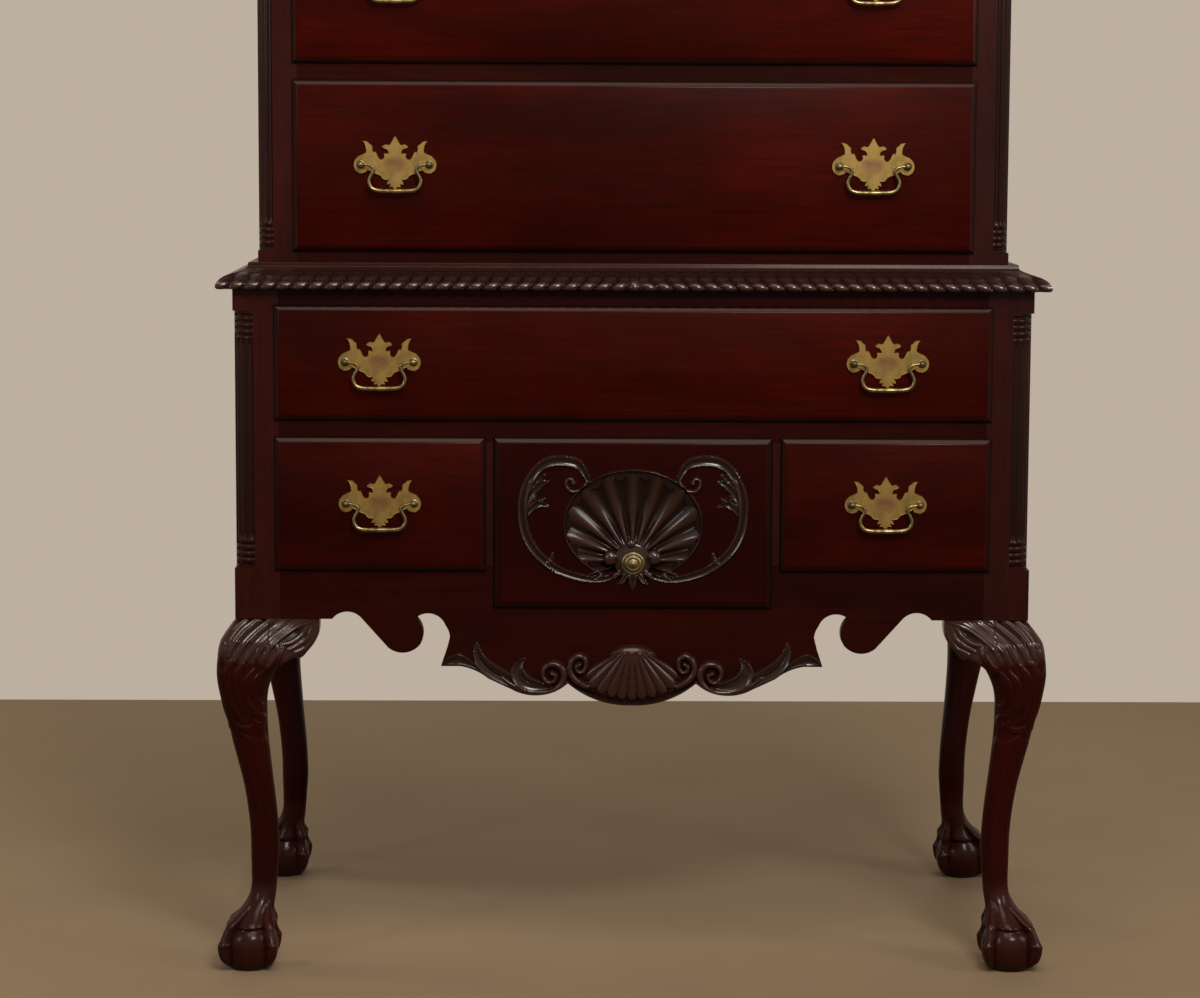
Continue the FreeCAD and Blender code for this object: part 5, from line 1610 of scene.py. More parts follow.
@dataclass
class Legs:
    """Four cabriole legs with their posts, and the brackets beside the knees."""

    shop: Workshop

    def build(self) -> None:
        """Makes each leg and its post, then the brackets."""
        p = Place
        plain = np.arange(112, 296, 5.0), np.arange(296, 463, 0.9)
        fine = np.concatenate([np.arange(0, 112, 1.3), *plain, [p.case_low]])
        coarse = np.concatenate([np.arange(0, 112, 1.8), np.arange(112, 463, 5.0), [p.case_low]])
        post = notched_post(p.stile, p.lower_notch, (p.case_low, *p.lower_column, p.case_top))
        whole = notched_post(p.stile, p.lower_notch, (p.case_low, 464.0, 464.1, p.case_top))
        posts = {"front": post, "rear": whole[[0, 1, 4, 5]]}
        for depth in ("front", "rear"):
            front = depth == "front"
            leg = Cabriole(288, fine, True) if front else Cabriole(144, coarse, False)
            skin, hollow = leg.net()
            for side, name in ((-1, "left"), (1, "right")):
                sign = np.array([-side, 1.0 if front else -1.0, 1.0])
                corner = np.array([side * p.half, p.front if front else p.back, 0.0])
                shape = Surface()
                shape.loft(skin * sign + corner, hollow)
                node = f"leg_{depth}_{name}"
                self.shop.put(f"{node}_cabriole", shape, Palette.leg, replaces=[node], sharp=60)
                post = Surface()
                post.loft(posts[depth] * sign + corner)
                self.shop.put(f"{node}_post", post, Palette.stile)
        self._brackets()

    def _brackets(self) -> None:
        """Makes the carved front brackets and the plain rear ones as one piece."""
        p = Place
        shape = Surface()
        rings, hollow = KneeBracket(True).rings()
        plain, no_hollow = KneeBracket(False).rings()
        for side in (-1, 1):
            q, proud, z = np.moveaxis(rings, -1, 0)
            shape.loft(np.stack([side * (p.half - q), p.front - proud, z], -1), hollow)
            shape.loft(np.stack([side * (p.half + proud), p.front + q, z], -1), hollow)
            q, proud, z = np.moveaxis(plain, -1, 0)
            shape.loft(np.stack([side * (p.half + proud), p.back - q, z], -1), no_hollow)
        self.shop.put("knee_brackets_carved", shape, Palette.leg, replaces=["knee_brackets"],
                      sharp=60)


# ---- apron
@dataclass
class Apron:
    """The scalloped front board with its carved shell, leaves and volutes."""

    shop: Workshop
    runs: tuple[Line, ...] = (
        ((-387.8, 0), (-371.7, 9.3), (-349.2, 0.2)), ((-349.2, 0.2), (-315.5, -37.5)),
        ((-315.5, -37.5), (-294.5, -44), (-275, -34)), ((-275, -34), (-270.3, -15), (-279.5, 1.9)),
        ((-279.5, 1.9), (-260, 7.2), (-241.5, -8)), ((-241.5, -8), (-235.8, -25), (-240, -40)),
        ((-240, -40), (-247.2, -61.3)), ((-247.2, -61.3), (-213, -63.2), (-186, -77.5)),
        ((-186, -77.5), (-157, -91)), ((-157, -91), (-119, -99.3), (-83, -83.6)), ((-83, -83.6),
        (-45, -105.5), (0, -112.3)),
    )
    leaves: tuple[Stroke, ...] = (
        Stroke(((-246, -61.5), (-237, -55.5), (-226, -53), (-214, -58), (-202, -65), (-186, -75)),
            (1, 5.5, 9, 7.5, 5, 2.5), (1.5, 3.6, 5, 5, 4.4, 3), Cut.HOLLOW),
        Stroke(((-200.6, -30), (-200.5, -41), (-196, -53.5), (-186, -64), (-174, -72), (-160, -80),
            (-146, -88)), (0.9, 5.6, 9.2, 10, 10.4, 10, 7), (1.6, 5, 6.4, 6.6, 6.4, 6, 4.4),
            Cut.HOLLOW),
        Stroke(((-200, -42), (-194, -56), (-184, -66), (-170, -75), (-152, -84)),
            (0.8, 1.2, 1.3, 1.2, 0.6), (0.7, 1, 1, 0.9, 0.4), Cut.GROOVE),
        Stroke(((-168, -76), (-156, -85), (-140, -92.5), (-122, -95.5)), (2, 3.6, 4.2, 3.4),
            (3.4, 5, 5.6, 5)),
        Stroke(((-139.4, -52), (-147, -60.5), (-148, -70), (-143, -79), (-133, -85), (-120, -88),
            (-107, -90)), (1.4, 7, 10.5, 11, 9.8, 8, 5), (2, 6.4, 8.4, 8.4, 7.6, 6.4, 5.4),
            Cut.HOLLOW),
        Stroke(((-142, -62), (-142.5, -72), (-136, -80), (-126, -84)), (0.8, 1.3, 1.3, 0.6),
            (0.7, 1.2, 1.2, 0.5), Cut.GROOVE),
        Stroke(((-150, -93), (-136, -94), (-120, -95.5), (-102, -93), (-91.7, -84.3),
            (-88.3, -73.9), (-90.5, -64), (-98, -58.5), (-108, -59), (-114.6, -65.4), (-115, -75),
            (-108.5, -82), (-101, -80), (-98.5, -73), (-104, -70)), (2.6, 3.4, 4.2, 5, 5.4, 5.4,
            5.2, 4.8, 4.4, 4, 3.8, 3.6, 3.4, 3.4, 3.8), (3.4, 5.2, 6.4, 7.6, 8.2, 8.2, 8, 7.6, 7,
            6.6, 6.6, 7, 7.8, 8.6, 9)),
        Stroke(((-24, -101), (-46.7, -92), (-60.3, -86.5), (-72.2, -79.5), (-79, -71),
            (-80.6, -61.5), (-77, -52), (-69, -47.2), (-61.5, -51), (-60, -60.1), (-64, -68),
            (-70, -68), (-72.6, -61.5), (-68, -58)), (1.6, 3.6, 4.4, 5, 5.2, 5, 4.8, 4.4, 4, 3.8,
            3.6, 3.4, 3.4, 3.6), (2.4, 5.2, 7, 8.2, 8.2, 8, 7.6, 7, 6.6, 6.6, 7, 7.6, 8.4, 8.8)),
    )
    rim: Line = (
        (0, 63), (15, 63.5), (32, 66.5), (45, 71), (55, 72), (62, 68), (70, 58), (82, 40),
    )
    spread: Line = ((14, 88), (30, 76), (60, 67), (80, 63))
    carved_half: float = 246.8
    carved_top: float = -24

    def edge(self) -> Array:
        """The scalloped edge.

        Returns:
            Rows of x and z from the left end to the right end.
        """
        left = []
        for run in self.runs:
            left.append(arc_line(*run, 16) if len(run) == 3 else smooth_line(run, 8))
        left = np.vstack(left) + np.array([0, Place.case_low])
        return np.vstack([left, left[::-1] * np.array([-1, 1])])

    def build(self) -> None:
        """Makes the board and the carving on it."""
        p = Place
        edge = self.edge()
        right = [(p.opening_half, p.case_low), (p.opening_half, p.side_sill),
                 (p.shell_half, p.side_sill),
                 (p.shell_half, p.shell_sill)]
        upper = right + [(-x, z) for x, z in right[::-1]]
        board = Surface()
        board.slab(np.vstack([edge, upper]), p.front, p.apron_back)
        self.shop.put("apron_board", board, Palette.rail, replaces=["apron"])
        self._carving(edge)

    def _carving(self, edge: Array) -> None:
        """Makes the carved net that lies on the board.

        Args:
            edge: The scalloped edge.
        """
        low_edge = edge[(np.abs(edge[:, 0]) < 247.3) & (edge[:, 1] < Place.case_low - 61)]
        low_edge = low_edge[np.argsort(low_edge[:, 0])]
        x = np.linspace(-self.carved_half, self.carved_half, 549)
        low = np.interp(x, low_edge[:, 0], low_edge[:, 1]) - Place.case_low
        share = np.linspace(0, 1, 98)
        v = low[:, None] + (self.carved_top - low[:, None]) * share[None]
        limit = np.interp(v, (-61.3, -40, -24), (247.2, 240, 236))
        u = np.clip(x[:, None], -limit, limit)
        relief = Relief(u, v)
        relief.carve(self.leaves)
        relief.carve(stroke.mirrored() for stroke in self.leaves)
        self._shell(relief)
        rim = (1 - smooth_step(v - low[:, None], 2.6, 5.0)) * (1 - smooth_step(np.abs(u), 236,
                                                                               246))
        relief.height = np.maximum(relief.height, np.where(np.abs(u) < 92, 3.6, 2.8) * rim)
        height = relief.height * (0.35 + 0.65 * smooth_step(v - low[:, None], 0, 2.6))
        front = Place.front + 0.5 - 0.7 * smooth_step(height, 0.0, 0.4) - height
        net = np.stack([u, front, v + Place.case_low], -1)
        under = net[:, :1].copy()
        under[..., 1] = Place.front + 1.5
        # Crest colour with painted highlight on the carving's tops, painted shade deepening into
        # its hollows.
        hollow = np.where(relief.height > 0.05, 0.15 + 0.85 * relief.hollows(6.0, -1.0), 0.0)
        near = smooth_step(relief.height, 0.05, 0.3)
        surface = Surface()
        hollow = np.concatenate([0 * hollow[:, :1], hollow * near], 1)
        surface.grid(np.concatenate([under, net], 1), hollow=hollow)
        self.shop.put("apron_carving", surface, Palette.carved, sharp=70)

    @classmethod
    def _shell(cls, relief: Relief) -> None:
        """Raises the fan of ribs that spreads from a smooth mound.

        Args:
            relief: The apron's relief.
        """
        u, v = relief.u, relief.v
        down = -(v + 41.0)
        angle = np.degrees(np.arctan2(u, down))
        far = np.hypot(u, down)
        limit = np.interp(np.abs(angle), *zip(*cls.rim))
        bent = np.degrees(np.arctan2(u, down + 14.0 * (1 - np.minimum(far / limit, 1))))
        rib = np.abs(np.cos(math.pi * bent / 12.4))
        share = far / (limit * (0.925 + 0.075 * rib**0.6))
        spread = np.abs(angle) < np.interp(far, *zip(*cls.spread))
        hub = np.hypot(u / 31.0, (v + 51.0) / 18.0)
        mound = 10.6 * np.maximum(0, 1 - hub**2) ** 0.6 * (v > -58)
        body = 3.2 + 7.4 * half_round((share - 0.25) / 0.80)
        body = np.maximum(body, mound) - 2.8 * smooth_step(far, 8, 22) * (1 - rib**0.7)
        fan = (share < 1) & spread
        volutes = relief.height * (far > 46)
        level = np.where(fan, np.maximum(body, volutes), relief.height)
        edge = (share >= 1) & (share < 1.05) & spread
        level = np.where(edge, np.maximum(1.2, volutes * (np.abs(angle) > 50)), level)
        relief.height = np.where(fan, level, np.maximum(level, mound))


# ---- drawers
SCROLLS = (
    Stroke(((-56, 99), (-59.2, 108), (-65, 120), (-72.3, 127), (-84.3, 130.4), (-96.2, 131),
        (-110.3, 128.5), (-122, 121), (-131.5, 108.5), (-138.5, 93), (-142, 76), (-142, 59),
        (-139.5, 41), (-133, 25), (-122.5, 10), (-108.5, -2.5), (-92, -12.5), (-74, -19),
        (-57, -22.5), (-42, -23), (-30, -20.5), (-19, -14)), (1.6, 3.4, 5, 6.4, 7, 7, 6.8, 6.4,
        6.2, 6.2, 6.2, 6.2, 6.2, 6, 5.8, 5.4, 5, 4.6, 4.2, 3.8, 3.2, 2.4), (2, 3.2, 3.8, 4.2, 4.4,
        4.4, 4.4, 4.4, 4.4, 4.4, 4.4, 4.4, 4.4, 4.4, 4.2, 4, 3.8, 3.6, 3.4, 3.2, 2.8, 2),
        Cut.HOLLOW),
    Stroke(((-59.2, 103.9), (-64, 96), (-70, 91.9), (-79.8, 91.5), (-86, 98), (-84.5, 106),
        (-79, 107), (-77, 101)), (1.8, 2.2, 2.4, 2.6, 2.6, 2.4, 2.4, 2.8),
        (2.4, 3.2, 3.6, 3.8, 3.8, 3.8, 4, 4.4)),
    Stroke(((-139, 70), (-132, 87), (-122, 98.5), (-109, 104)), (1.5, 4.6, 6, 0.8),
        (2.2, 3.2, 3.4, 1.2), Cut.HOLLOW),
    Stroke(((-137, 82), (-130, 99), (-121, 107), (-113, 112.5)), (1.2, 4, 4.2, 0.8),
        (2.4, 3.6, 3.6, 1.2), Cut.HOLLOW),
    Stroke(((-137, 88), (-131, 103), (-121.5, 115.5)), (1.2, 3.8, 0.8), (2.4, 3.4, 1.2)),
    Stroke(((-140, 52), (-134, 66), (-123, 74.5), (-109, 71.6)), (1.5, 4.4, 5.4, 0.8),
        (2.2, 3.2, 3.4, 1.2), Cut.HOLLOW),
    Stroke(((-139, 60), (-130, 77), (-113.4, 81.6)), (1.2, 4, 0.8), (2.4, 3.6, 1.2), Cut.HOLLOW),
    Stroke(((-138, 68), (-132, 79), (-124.5, 86)), (1.2, 3.2, 0.8), (2.4, 3.4, 1.2)),
    Stroke(((-108, -3), (-105, 4), (-103, 11.5)), (5, 3.2, 0.7), (3.6, 3, 1), Cut.SLOPED),
    Stroke(((-48, -24), (-36, -14), (-30, -4), (-28.3, 4.8)), (2.2, 3.6, 4.4, 5),
        (2.5, 4, 5, 5.8)),
    Stroke(((-58, -19), (-47, -13), (-40, -8)), (1.2, 2.2, 1), (1.4, 2.6, 1.2)),
)
TONGUE_SIDES = (
    Stroke(((9, -18), (13, -25), (19, -30)), (4.5, 3.6, 0.8), (4.2, 3.8, 1.4), Cut.VEINED),
    Stroke(((17, -14), (23, -19), (30, -23)), (3.5, 2.8, 0.8), (3.8, 3.2, 1.2), Cut.VEINED),
)
TONGUE = (
    Stroke(((0, -20), (0, -30), (0, -37.5)), (7, 5, 1), (4.6, 4.2, 1.6), Cut.VEINED),
    *TONGUE_SIDES,
    *(stroke.mirrored() for stroke in TONGUE_SIDES),
)


@dataclass(frozen=True)
class ShellCarving:
    """The concave shell between two C-scrolls, about the knob."""

    scale: float = 1.0
    ribs: int = 13
    fan: float = 232.0
    rim_half: float = 88.7
    rim_tall: float = 70.8
    rim_rise: float = 47.6
    bosses: tuple[tuple[Point2, float, float], ...] = (((-28.3, 4.8), 9.5, 7.5),
                                                       ((27.2, 5.6), 9.5, 7.5),
                                                       ((-2.3, 23.0), 6.0, 4.5))
    hub: Point2 = (24, 3.6)

    def heights(self, u: Array, v: Array) -> tuple[Array, Array]:
        """The carved surface about the knob.

        Args:
            u: Places across, from the knob.
            v: Places upwards, from the knob.

        Returns:
            Height over the drawer's face, and how hollow it is, which paints shade into hollows.
        """
        u, v = u / self.scale, v / self.scale
        relief = Relief(u, v)
        relief.carve(SCROLLS)
        relief.carve(stroke.mirrored() for stroke in SCROLLS)
        # Scrolls: crest colour with painted highlight on their rims, painted shade inside.
        shade = np.where(relief.height > 0.05, 0.15 + 0.7 * relief.hollows(3.0, 1.6), 0.0)
        across, up = u / self.rim_half, (v - self.rim_rise) / self.rim_tall
        rim = np.hypot(across, up)
        angle = np.degrees(np.arctan2(u, v))
        bend = smooth_step(np.abs(angle), 58, 112)
        angle = angle - np.sign(angle) * 9.0 * bend * np.sin(math.pi * np.clip(rim, 0, 1))
        step = self.fan / (self.ribs + 0.6)
        far = np.hypot(u, v)
        limit = self._rim_distance(u, v)
        share = far / limit
        wave = np.cos(2 * math.pi * angle / step)
        edge = 0.935 + 0.042 * wave
        inside = (share < edge) & (np.abs(angle) < self.fan / 2 + 2)
        bowl = -12.0 * np.sin(math.pi * np.clip(share / 0.985, 0, 1) ** 0.9) ** 0.75
        lift = smooth_step(share, 0.10, 0.35)
        body = bowl + lift * (5.4 * (0.5 + 0.5 * wave) ** 0.9 - 2.8) + 1.2
        groove = (share >= edge) & (share < 1.0)
        level = np.where(inside, body, np.where(groove, -1.6, relief.height))
        crest = 1.9 * half_round((rim - 1.0) / 0.022)
        top = np.abs(angle) < self.fan / 2 + 6
        level = np.where(top & (rim > 0.978) & (rim < 1.022), np.maximum(crest, level), level)
        # Painted shade in the rib valleys and across the upper bowl, where shadow falls.
        rib_valley_shade = 0.7 * (0.5 - 0.5 * wave) * lift + 0.3 * smooth_step(up, 0.0, 0.8)
        shade = np.where(inside, 0.15 + rib_valley_shade, shade)
        # Painted shade fills the groove round the rim.
        shade = np.where(groove & top, 1.0, shade)
        ends = Relief(u, v)
        ends.carve(TONGUE)
        for boss in self.bosses:
            ends.dome(*boss)
        ends.dome((0.0, 0.0), *self.hub)
        raised = ends.height > 0.3
        level = np.where(raised, np.maximum(level, ends.height), level)
        shade = np.where(raised, 0.15 + 0.6 * ends.hollows(4.0, 0.6), shade)
        return level * self.scale, np.clip(shade, 0, 1)

    @classmethod
    def _rim_distance(cls, u: Array, v: Array) -> Array:
        """Distance from the knob to the shell's oval rim.

        Args:
            u: As for heights.
            v: As for heights.

        Returns:
            The distance in the direction of each place.
        """
        far = np.maximum(np.hypot(u, v), 1e-6)
        dx, dz = u / far / cls.rim_half, v / far / cls.rim_tall
        offset = -cls.rim_rise / cls.rim_tall
        a, b, c = dx * dx + dz * dz, 2 * dz * offset, offset * offset - 1
        return (-b + np.sqrt(np.maximum(0, b * b - 4 * a * c))) / (2 * a)


@dataclass(frozen=True)
class DrawerSpec:
    """What one drawer is called and which handles it carries."""

    name: str
    handles: tuple[float, ...] = ()
    carving: ShellCarving | None = None

    @property
    def bails(self) -> list[str]:
        """The body of each handle's bail."""
        ends = ("_left", "_right") if len(self.handles) > 1 else ("",)
        return [f"bail_{self.name}{end}" for end in ends]


LOWER_HANDLE, UPPER_HANDLE, TOP_HANDLE = 325.0, 305.6, 289.35
DRAWERS = (
    DrawerSpec("lower_long", (-LOWER_HANDLE, LOWER_HANDLE)),
    DrawerSpec("lower_left", (-LOWER_HANDLE,)),
    DrawerSpec("lower_shell", carving=ShellCarving()),
    DrawerSpec("lower_right", (LOWER_HANDLE,)),
    *(DrawerSpec(f"upper_long_{k}", (-UPPER_HANDLE, UPPER_HANDLE)) for k in (1, 2, 3)),
    DrawerSpec("top_left", (-TOP_HANDLE,)),
    DrawerSpec("top_shell", carving=ShellCarving(0.62)),
    DrawerSpec("top_right", (TOP_HANDLE,)),
)


@dataclass
class Drawer:
    """A drawer: its lipped front, its box and its brass."""

    shop: Workshop
    spec: DrawerSpec
    low: Array = field(init=False)
    high: Array = field(init=False)
    knob_rise: float = 61.2
    lip_tall: float = 9.0
    carving_step: float = 0.78
    lip: Line = (
        (0, 0), (0, 2.4), (0.3, 3.3), (1.1, 4.2), (2.6, 5.2), (4.4, 6.3), (6.2, 7.3), (7.7, 8.1),
        (8.5, 8.4), (8.7, 8.85), (9.1, 9.0),
    )

    def __post_init__(self) -> None:
        """Measures the drawer's front on the frame."""
        self.low, self.high = corners(f"{self.spec.name}_front")

    @property
    def face(self) -> float:
        """Where the front's face is."""
        return self.low[1]

    @property
    def seat(self) -> float:
        """Where the back of the lip is."""
        return self.low[1] + self.lip_tall

    @property
    def knob(self) -> Point2:
        """Where the knob of a shell drawer sits, as x and z."""
        return (self.low[0] + self.high[0]) / 2, self.low[2] + self.knob_rise

    def build(self) -> None:
        """Makes the front, dresses the box and fits the brass."""
        shape = Surface()
        if self.spec.carving:
            self._carved_front(shape)
        else:
            # The lip's moulded edge carries painted shade.
            shape.loft(self._rings(), self._painted_edge_shade())
        name = self.spec.name
        finish = Palette.shell_panel if self.spec.carving else Palette.drawer
        self.shop.put(f"{name}_panel", shape, finish, name, [f"{name}_front"])
        self.shop.dress(f"{name}_box", Palette.inside_y)
        brass = Hardware(self.shop, name, self.face, self.high[1])
        if self.spec.carving:
            brass.knob(*self.knob)
        else:
            middle = (self.low[2] + self.high[2]) / 2 + 2
            brass.handles(self.spec.handles, self.spec.bails, middle)

    def _rectangle(self, inset: float, y: float, gap: bool = False) -> list[Point3]:
        """One ring of the front.

        Args:
            inset: Distance inside its outline.
            y: Its depth.
            gap: Whether it stays clear of the rail below.

        Returns:
            Four corners.
        """
        under = 6.0 if gap else inset
        x0, x1 = self.low[0] + inset, self.high[0] - inset
        z0, z1 = self.low[2] + under, self.high[2] - inset
        return [(x0, y, z0), (x1, y, z0), (x1, y, z1), (x0, y, z1)]

    def _rings(self) -> Array:
        """The front's rings: the block in the opening, from its back, then the moulded lip.

        Returns:
            Four corners for each ring.
        """
        back = self.high[1]
        block = ((7.6, back), (7.0, back - 0.6), (7.0, self.seat))
        rings = [self._rectangle(inset, y, True) for inset, y in block]
        rings += [self._rectangle(inset, self.seat - tall) for inset, tall in self.lip]
        return np.array(rings)

    def _painted_edge_shade(self) -> Array:
        """How much painted shade lies on each ring: most in the moulded edge."""
        dark = [0.0] * 3 + [-0.85 * (1 - smooth_step(tall, 4.6, 8.7)) for _, tall in self.lip]
        return np.repeat(np.array(dark, float)[:, None], 4, 1)

    def _carved_front(self, shape: Surface) -> None:
        """Adds lip and block as for a plain drawer, with the carving let into the face.

        Args:
            shape: The surface.
        """
        rings = self._rings()
        shape.loft(rings, self._painted_edge_shade(), closed=False)
        x0, _, z0 = rings[-1][0]
        x1, _, z1 = rings[-1][2]
        x, z = (np.linspace(a, b, int((b - a) / self.carving_step)) for a,
                b in ((x0, x1), (z0, z1)))
        u, v = np.meshgrid(x, z)
        knob_x, knob_z = self.knob
        height, hollow = self.spec.carving.heights(u - knob_x, v - knob_z)
        shape.grid(np.stack([u, self.face - height, v], -1), hollow=hollow)


# ---- hardware
@dataclass
class Hardware:
    """The brass of one drawer."""

    shop: Workshop
    drawer: str
    face: float
    back: float
    spacing: float = 87.4
    plate_thick: float = 1.6
    pin_reach: float = 8.0
    shank_half: float = 2.1
    nut_half: float = 5
    nut_thick: float = 3
    ball_radius: float = 4.5
    hole_radius: float = 1.7
    hole_depth: float = 3.4
    post: Line = (
        (0.05, 0), (5.6, 0), (5.8, 0.8), (5.2, 1.6), (3.6, 2), (3, 3.2), (3, 5.4), (0.05, 5.6),
    )
    knob_end: Line = (
        (12.4, 18.2), (11.8, 18), (11.2, 18.8), (9.4, 20.2), (8, 20.6), (7.2, 20.2), (6.7, 19.2),
        (6, 19.2), (5.4, 19.9), (3.6, 20.4), (2.4, 20.4), (1.6, 21.2), (0.8, 21.9), (0.05, 22),
    )
    plate: Line = (
        (0, 36.6), (1.6, 34.6), (3.7, 30.7), (5, 28.4), (6.4, 26), (8, 24.9), (10, 25.4),
        (11.7, 26), (14.8, 24.8), (17, 22.3), (14.4, 20.4), (11.1, 19.6), (9.2, 18.2), (8, 14.3),
        (10, 14), (11.7, 14.5), (14.3, 13.8), (13.8, 10), (15.2, 7.4), (17.5, 6.4), (20, 7.4),
        (21.7, 10), (23.2, 13.6), (24.9, 16.4), (27.6, 15.9), (28.8, 19), (28.6, 22.8), (30, 25),
        (32.3, 26.5), (34.2, 28.6), (36.6, 29.7), (39.4, 30), (41.9, 29.2), (39.8, 27.8),
        (38.7, 26), (37.4, 23.4), (37.1, 20.7), (36.8, 18), (37.1, 15.4), (40, 14), (42.9, 12.7),
        (46.6, 11.2), (49.3, 8.5), (51.8, 5.4), (53, 1.6), (53.2, -1.8), (52.5, -4.8), (50.8, -8),
        (48.2, -10.1), (45.4, -11.6), (42.9, -11.7), (39.6, -11), (36.6, -9.5), (34.5, -6.9),
        (29, -9.6), (23.9, -12.2), (20.4, -13.4), (17.5, -15.4), (16.2, -17.8), (14.3, -19.1),
        (11, -19.6), (8, -19.1), (10.2, -22), (10.6, -25.4), (8, -25.2), (5.8, -24.4), (7, -26.4),
        (7.4, -28.6), (5.4, -28.8), (3.7, -28.1), (2, -30), (0, -31.3),
    )
    bail: Strip = (
        (42.1, 0, 1.35), (39, 0, 1.35), (36, -0.6, 1.5), (31, -1.8, 1.9), (27.4, -5.2, 2.1),
        (28.2, -9.8, 2.2), (30.8, -14.6, 2.3), (32.9, -20, 2.4), (32.2, -26, 2.6),
        (28.6, -30.6, 2.8), (22.6, -33, 3.0), (14, -33.8, 3.1), (0, -34.0, 3.2),
    )

    def handles(self, places: Sequence[float], bails: Sequence[str], z: float) -> None:
        """Makes plates, posts and bails.

        Args:
            places: Middle of each handle.
            bails: Body of each bail.
            z: Height of the posts.
        """
        plate_face = self.face - self.plate_thick
        axis = plate_face - self.pin_reach
        posts = Surface()
        for number, (x, bail) in enumerate(zip(places, bails)):
            right = np.array(self.plate)
            outline = np.vstack([right, right[-2:0:-1] * np.array([-1, 1])])
            plate = Surface()
            plate.slab(outline + np.array([x, z]), self.face, plate_face, 0.7)
            name, node = f"{self.drawer}_plate_{number + 1}", f"{self.drawer}_brass"
            self.shop.put(name, plate, Palette.plate, self.drawer, [node], (x, plate_face, z))
            for side in (-1, 1):
                self._post(posts, (x + side * self.spacing / 2, z), plate_face, axis, -side)
            self._bail(bail, x, axis, z)
        self.shop.put(f"{self.drawer}_posts", posts, Palette.fixing, self.drawer, sharp=45)

    def _post(self, surface: Surface, at: Point2, plate_face: float, axis: float,
              inward: int) -> None:
        """Adds a turned post with a hole for the bail's pin, and its shank.

        Args:
            surface: The surface.
            at: Its place, x and z.
            plate_face: Face of the plate.
            axis: Depth of the bail's pins.
            inward: 1 or -1, towards the bail.
        """
        x, z = at
        surface.lathe(self.post, (x, plate_face, z), (0, -1, 0), 28)
        radius, hole, mouth = self.ball_radius, self.hole_radius, 0.39
        turns = np.linspace(0.03, math.pi - mouth, 14)
        ball = [(radius * math.sin(a), -radius * math.cos(a)) for a in turns]
        deep = radius * math.cos(mouth) - self.hole_depth
        ball += [(hole, radius * math.cos(mouth)), (hole, deep), (0.05, deep)]
        surface.lathe(ball, (x, axis, z), (inward, 0, 0), 26)
        self._shank(surface, at, plate_face)

    def _shank(self, surface: Surface, at: Point2, start: float) -> None:
        """Adds the square shank through the front, and its nut.

        Args:
            surface: The surface.
            at: Its place, x and z.
            start: Where it starts.
        """
        x, z = at
        for half, low, high, ease in (
            (self.shank_half, start, self.back + 2 * self.nut_thick, 0.2),
            (self.nut_half, self.back, self.back + self.nut_thick, 0.5),
        ):
            surface.board((x - half, low, z - half), (x + half, high, z + half), ease)

    def _bail(self, name: str, x: float, axis: float, z: float) -> None:
        """Makes one bail.

        Args:
            name: Name of its body.
            x: Its middle along the drawer.
            axis: Depth of its pins.
            z: Height of its pins.
        """
        right = smooth_line(self.bail, 5)
        right = right[1:] if len(right) % 2 else right
        route = np.vstack([right, right[-2::-1] * np.array([-1, 1, 1])])
        path = np.stack([x + route[:, 0], np.full(len(route), axis), z + route[:, 1]], 1)
        surface = Surface()
        surface.tube(path, route[:, 2], 14)
        finish, origin = Palette.bail, (x, axis, z - 20)
        self.shop.put(f"{name}_cast", surface, finish, name, [name], origin, 50)

    def knob(self, x: float, z: float) -> None:
        """Makes the turned knob of a shell drawer, with its shank and nut.

        Args:
            x: Its place along the drawer.
            z: Its height.
        """
        stem = ((9.3, 0), (9.6, 0.8), (9.0, 1.8), (6.4, 3.0), (5.4, 5.6), (6.0, 9.2), (8.6, 11.6))
        crown = ((12.6, 13.4), (14.8, 14.6), (15.5, 16.4), (14.8, 18.0), (13.0, 19.0))
        profile = np.vstack([[(0.05, 0)], smooth_line(stem, 4), smooth_line(crown, 4),
                             self.knob_end])
        surface = Surface()
        surface.lathe(profile, (x, self.face, z), (0, -1, 0), 48)
        self._shank(surface, (x, z), self.face)
        origin = (x, self.face - 22, z)
        self.shop.put(f"{self.drawer}_knob", surface, Palette.fixing, self.drawer,
                      [f"{self.drawer}_brass"], origin, 50)


# ---- studio
@dataclass(frozen=True)
class SoftLight:
    """A large soft lamp that faces a point of the piece."""

    name: str
    place: Point3
    aim: Point3
    size: Point2
    watts: float
    colour: Colour = (1.0, 1.0, 1.0)
    mirrored: bool = True

    def build(self) -> None:
        """Makes the lamp, unseen by the camera."""
        data = bpy.data.lights.new(self.name, "AREA")
        data.shape = "RECTANGLE"
        data.size, data.size_y = self.size
        data.energy = self.watts
        data.color = self.colour
        lamp = bpy.data.objects.new(self.name, data)
        lamp.location = self.place
        lamp.visible_camera = False
        lamp.visible_glossy = self.mirrored
        ahead = Vector(self.aim) - Vector(self.place)
        lamp.rotation_euler = ahead.to_track_quat("-Z", "Y").to_euler()
        bpy.context.scene.collection.objects.link(lamp)


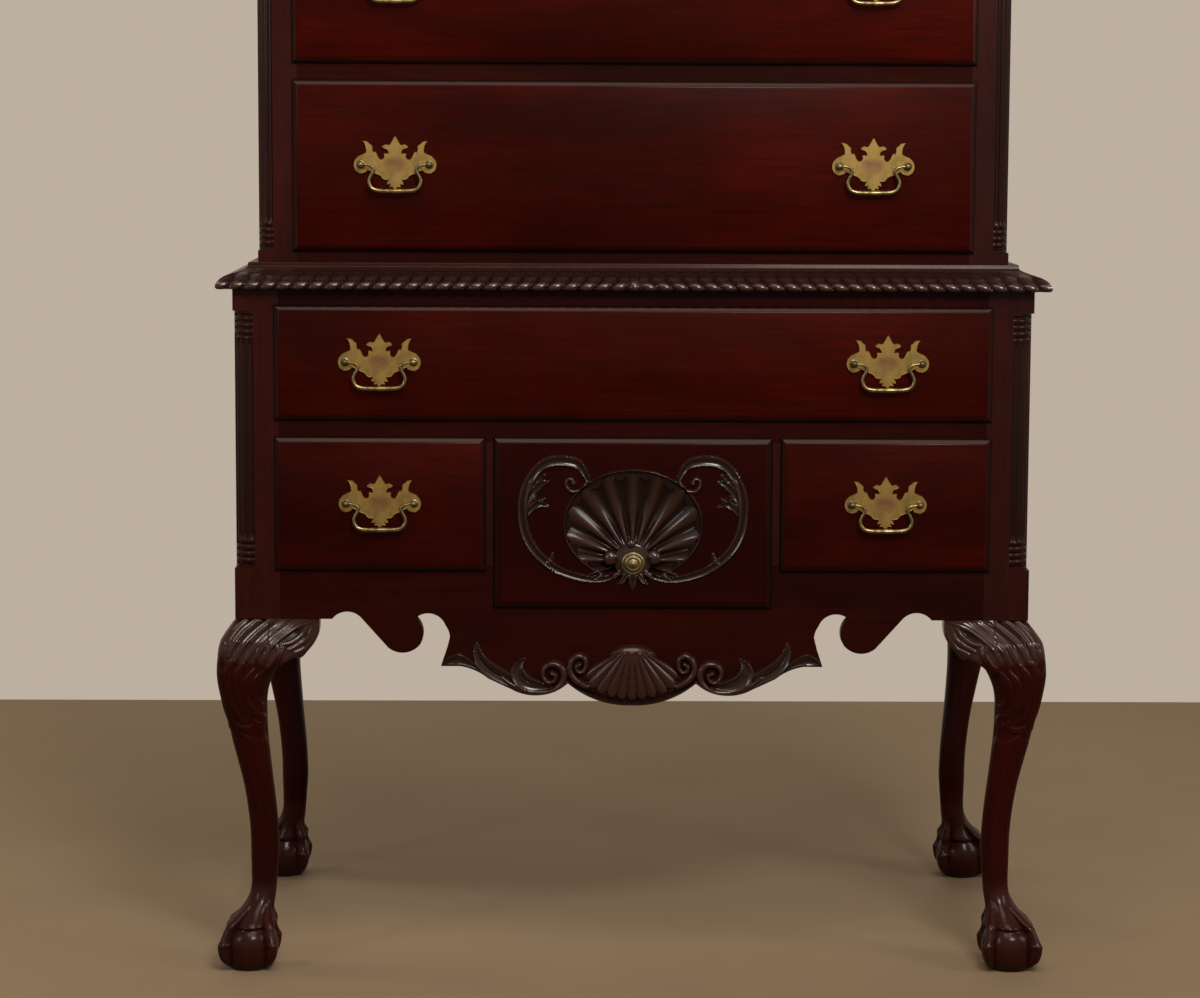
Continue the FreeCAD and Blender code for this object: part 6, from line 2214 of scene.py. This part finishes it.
@dataclass
class Studio:
    """Camera, floor, room and lights."""

    shop: Workshop
    wall: Colour = (0.51, 0.435, 0.352)
    ambient: Colour = (1.0, 0.96, 0.90)
    ambient_strength: float = 0.09
    floor: Colour = (0.245, 0.174, 0.104)
    floor_x: Point2 = (-5000.0, 5000.0)
    floor_y: Point2 = (-6000.0, 1640.0)
    sensor: float = 36.0
    lens: float = 96.92
    turn_degrees: Point3 = (0.641, 7.006, -0.253)
    eye: Point3 = (-0.08855, -4.40103, 1.12859)
    warm: Colour = (1.0, 0.96, 0.9)

    def build(self) -> None:
        """Sets the studio up."""
        self._camera()
        self._floor()
        lights = (
            SoftLight("overhead", (0.0, -2.0, 3.3), (0.0, -0.3, 0.6), (1.9, 1.5), 42.0,
                      (1.0, 0.83, 0.66)),
            SoftLight("key", (0.9, -3.6, 3.0), (0.0, 0.0, 0.8), (1.1, 0.8), 92.0, self.warm),
            SoftLight("window", (-2.6, -2.4, 1.8), (0.0, 0.0, 0.9), (0.5, 1.2), 16.0,
                      (0.84, 0.91, 1.0)),
            SoftLight("right", (3.2, -1.8, 2.2), (0.4, -0.2, 1.5), (1.0, 1.6), 30.0, self.warm),
            SoftLight("left", (-3.2, 0.6, 2.1), (-0.5, 0.0, 1.2), (1.0, 1.6), 25.0, self.warm,
                      False),
            SoftLight("rear", (0.0, 3.4, 3.0), (0.0, 0.0, 1.2), (3.0, 1.6), 70.0,
                      (1.0, 0.97, 0.93), False),
        )
        for light in lights:
            light.build()
        self._room()
        bpy.context.scene.view_settings.view_transform = "Standard"

    def _room(self) -> None:
        """A pale wall colour behind the piece, which gives only a little light of its own."""
        world = bpy.data.worlds.new("soft_room")
        g = Graph(world)
        path = g.node("LightPath").outputs
        seen = path["Is Camera Ray"]
        for kind in ("Is Glossy Ray", "Is Transmission Ray"):
            seen = g.maths("MAXIMUM", seen, path[kind])
        wall = g.node("Background", {"Color": (*self.wall, 1.0)})
        dim = {"Color": (*self.ambient, 1.0), "Strength": self.ambient_strength}
        ambient = g.node("Background", dim)
        mixed = g.node("MixShader", {0: seen, 1: ambient.outputs[0], 2: wall.outputs[0]})
        g.node("OutputWorld", {"Surface": mixed.outputs[0]})
        bpy.context.scene.world = world

    def _camera(self) -> None:
        """Sets the camera up."""
        data = bpy.data.cameras.new("camera")
        data.sensor_width = self.sensor
        data.sensor_fit = "HORIZONTAL"
        data.lens = self.lens
        yaw, pitch, roll = (math.radians(v) for v in self.turn_degrees)
        level = math.cos(pitch)
        ahead = Vector((math.sin(yaw) * level, math.cos(yaw) * level, -math.sin(pitch)))
        right = Vector((math.cos(yaw), -math.sin(yaw), 0.0))
        up = right.cross(ahead)
        across = right * math.cos(roll) - up * math.sin(roll)
        above = up * math.cos(roll) + right * math.sin(roll)
        camera = bpy.data.objects.new("camera", data)
        turn = Matrix((across, above, -ahead)).transposed().to_4x4()
        camera.matrix_world = Matrix.Translation(self.eye) @ turn
        bpy.context.scene.collection.objects.link(camera)
        bpy.context.scene.camera = camera

    def _floor(self) -> None:
        """Lays the floor, which ends behind the piece."""
        surface = Surface()
        surface.grid(np.array([[(x, y, 0.0) for x in self.floor_x] for y in self.floor_y]))
        finish = Matt("pale_floor", self.floor)
        floor = surface.to_object("studio_floor", self.shop.palette.material(finish), 80)


def main() -> None:
    """Builds the whole scene on the frame."""
    logging.basicConfig(level=logging.INFO, format="%(name)s: %(message)s")
    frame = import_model()
    shop = Workshop(frame)
    Studio(shop).build()
    for assembly in (Carcass, Columns, WaistMoulding, Pediment, Legs, Apron):
        assembly(shop).build()
    for spec in DRAWERS:
        Drawer(shop, spec).build()
    LOG.info("%d pieces made", len(shop.pieces))


if __name__ == "__main__":
    main()
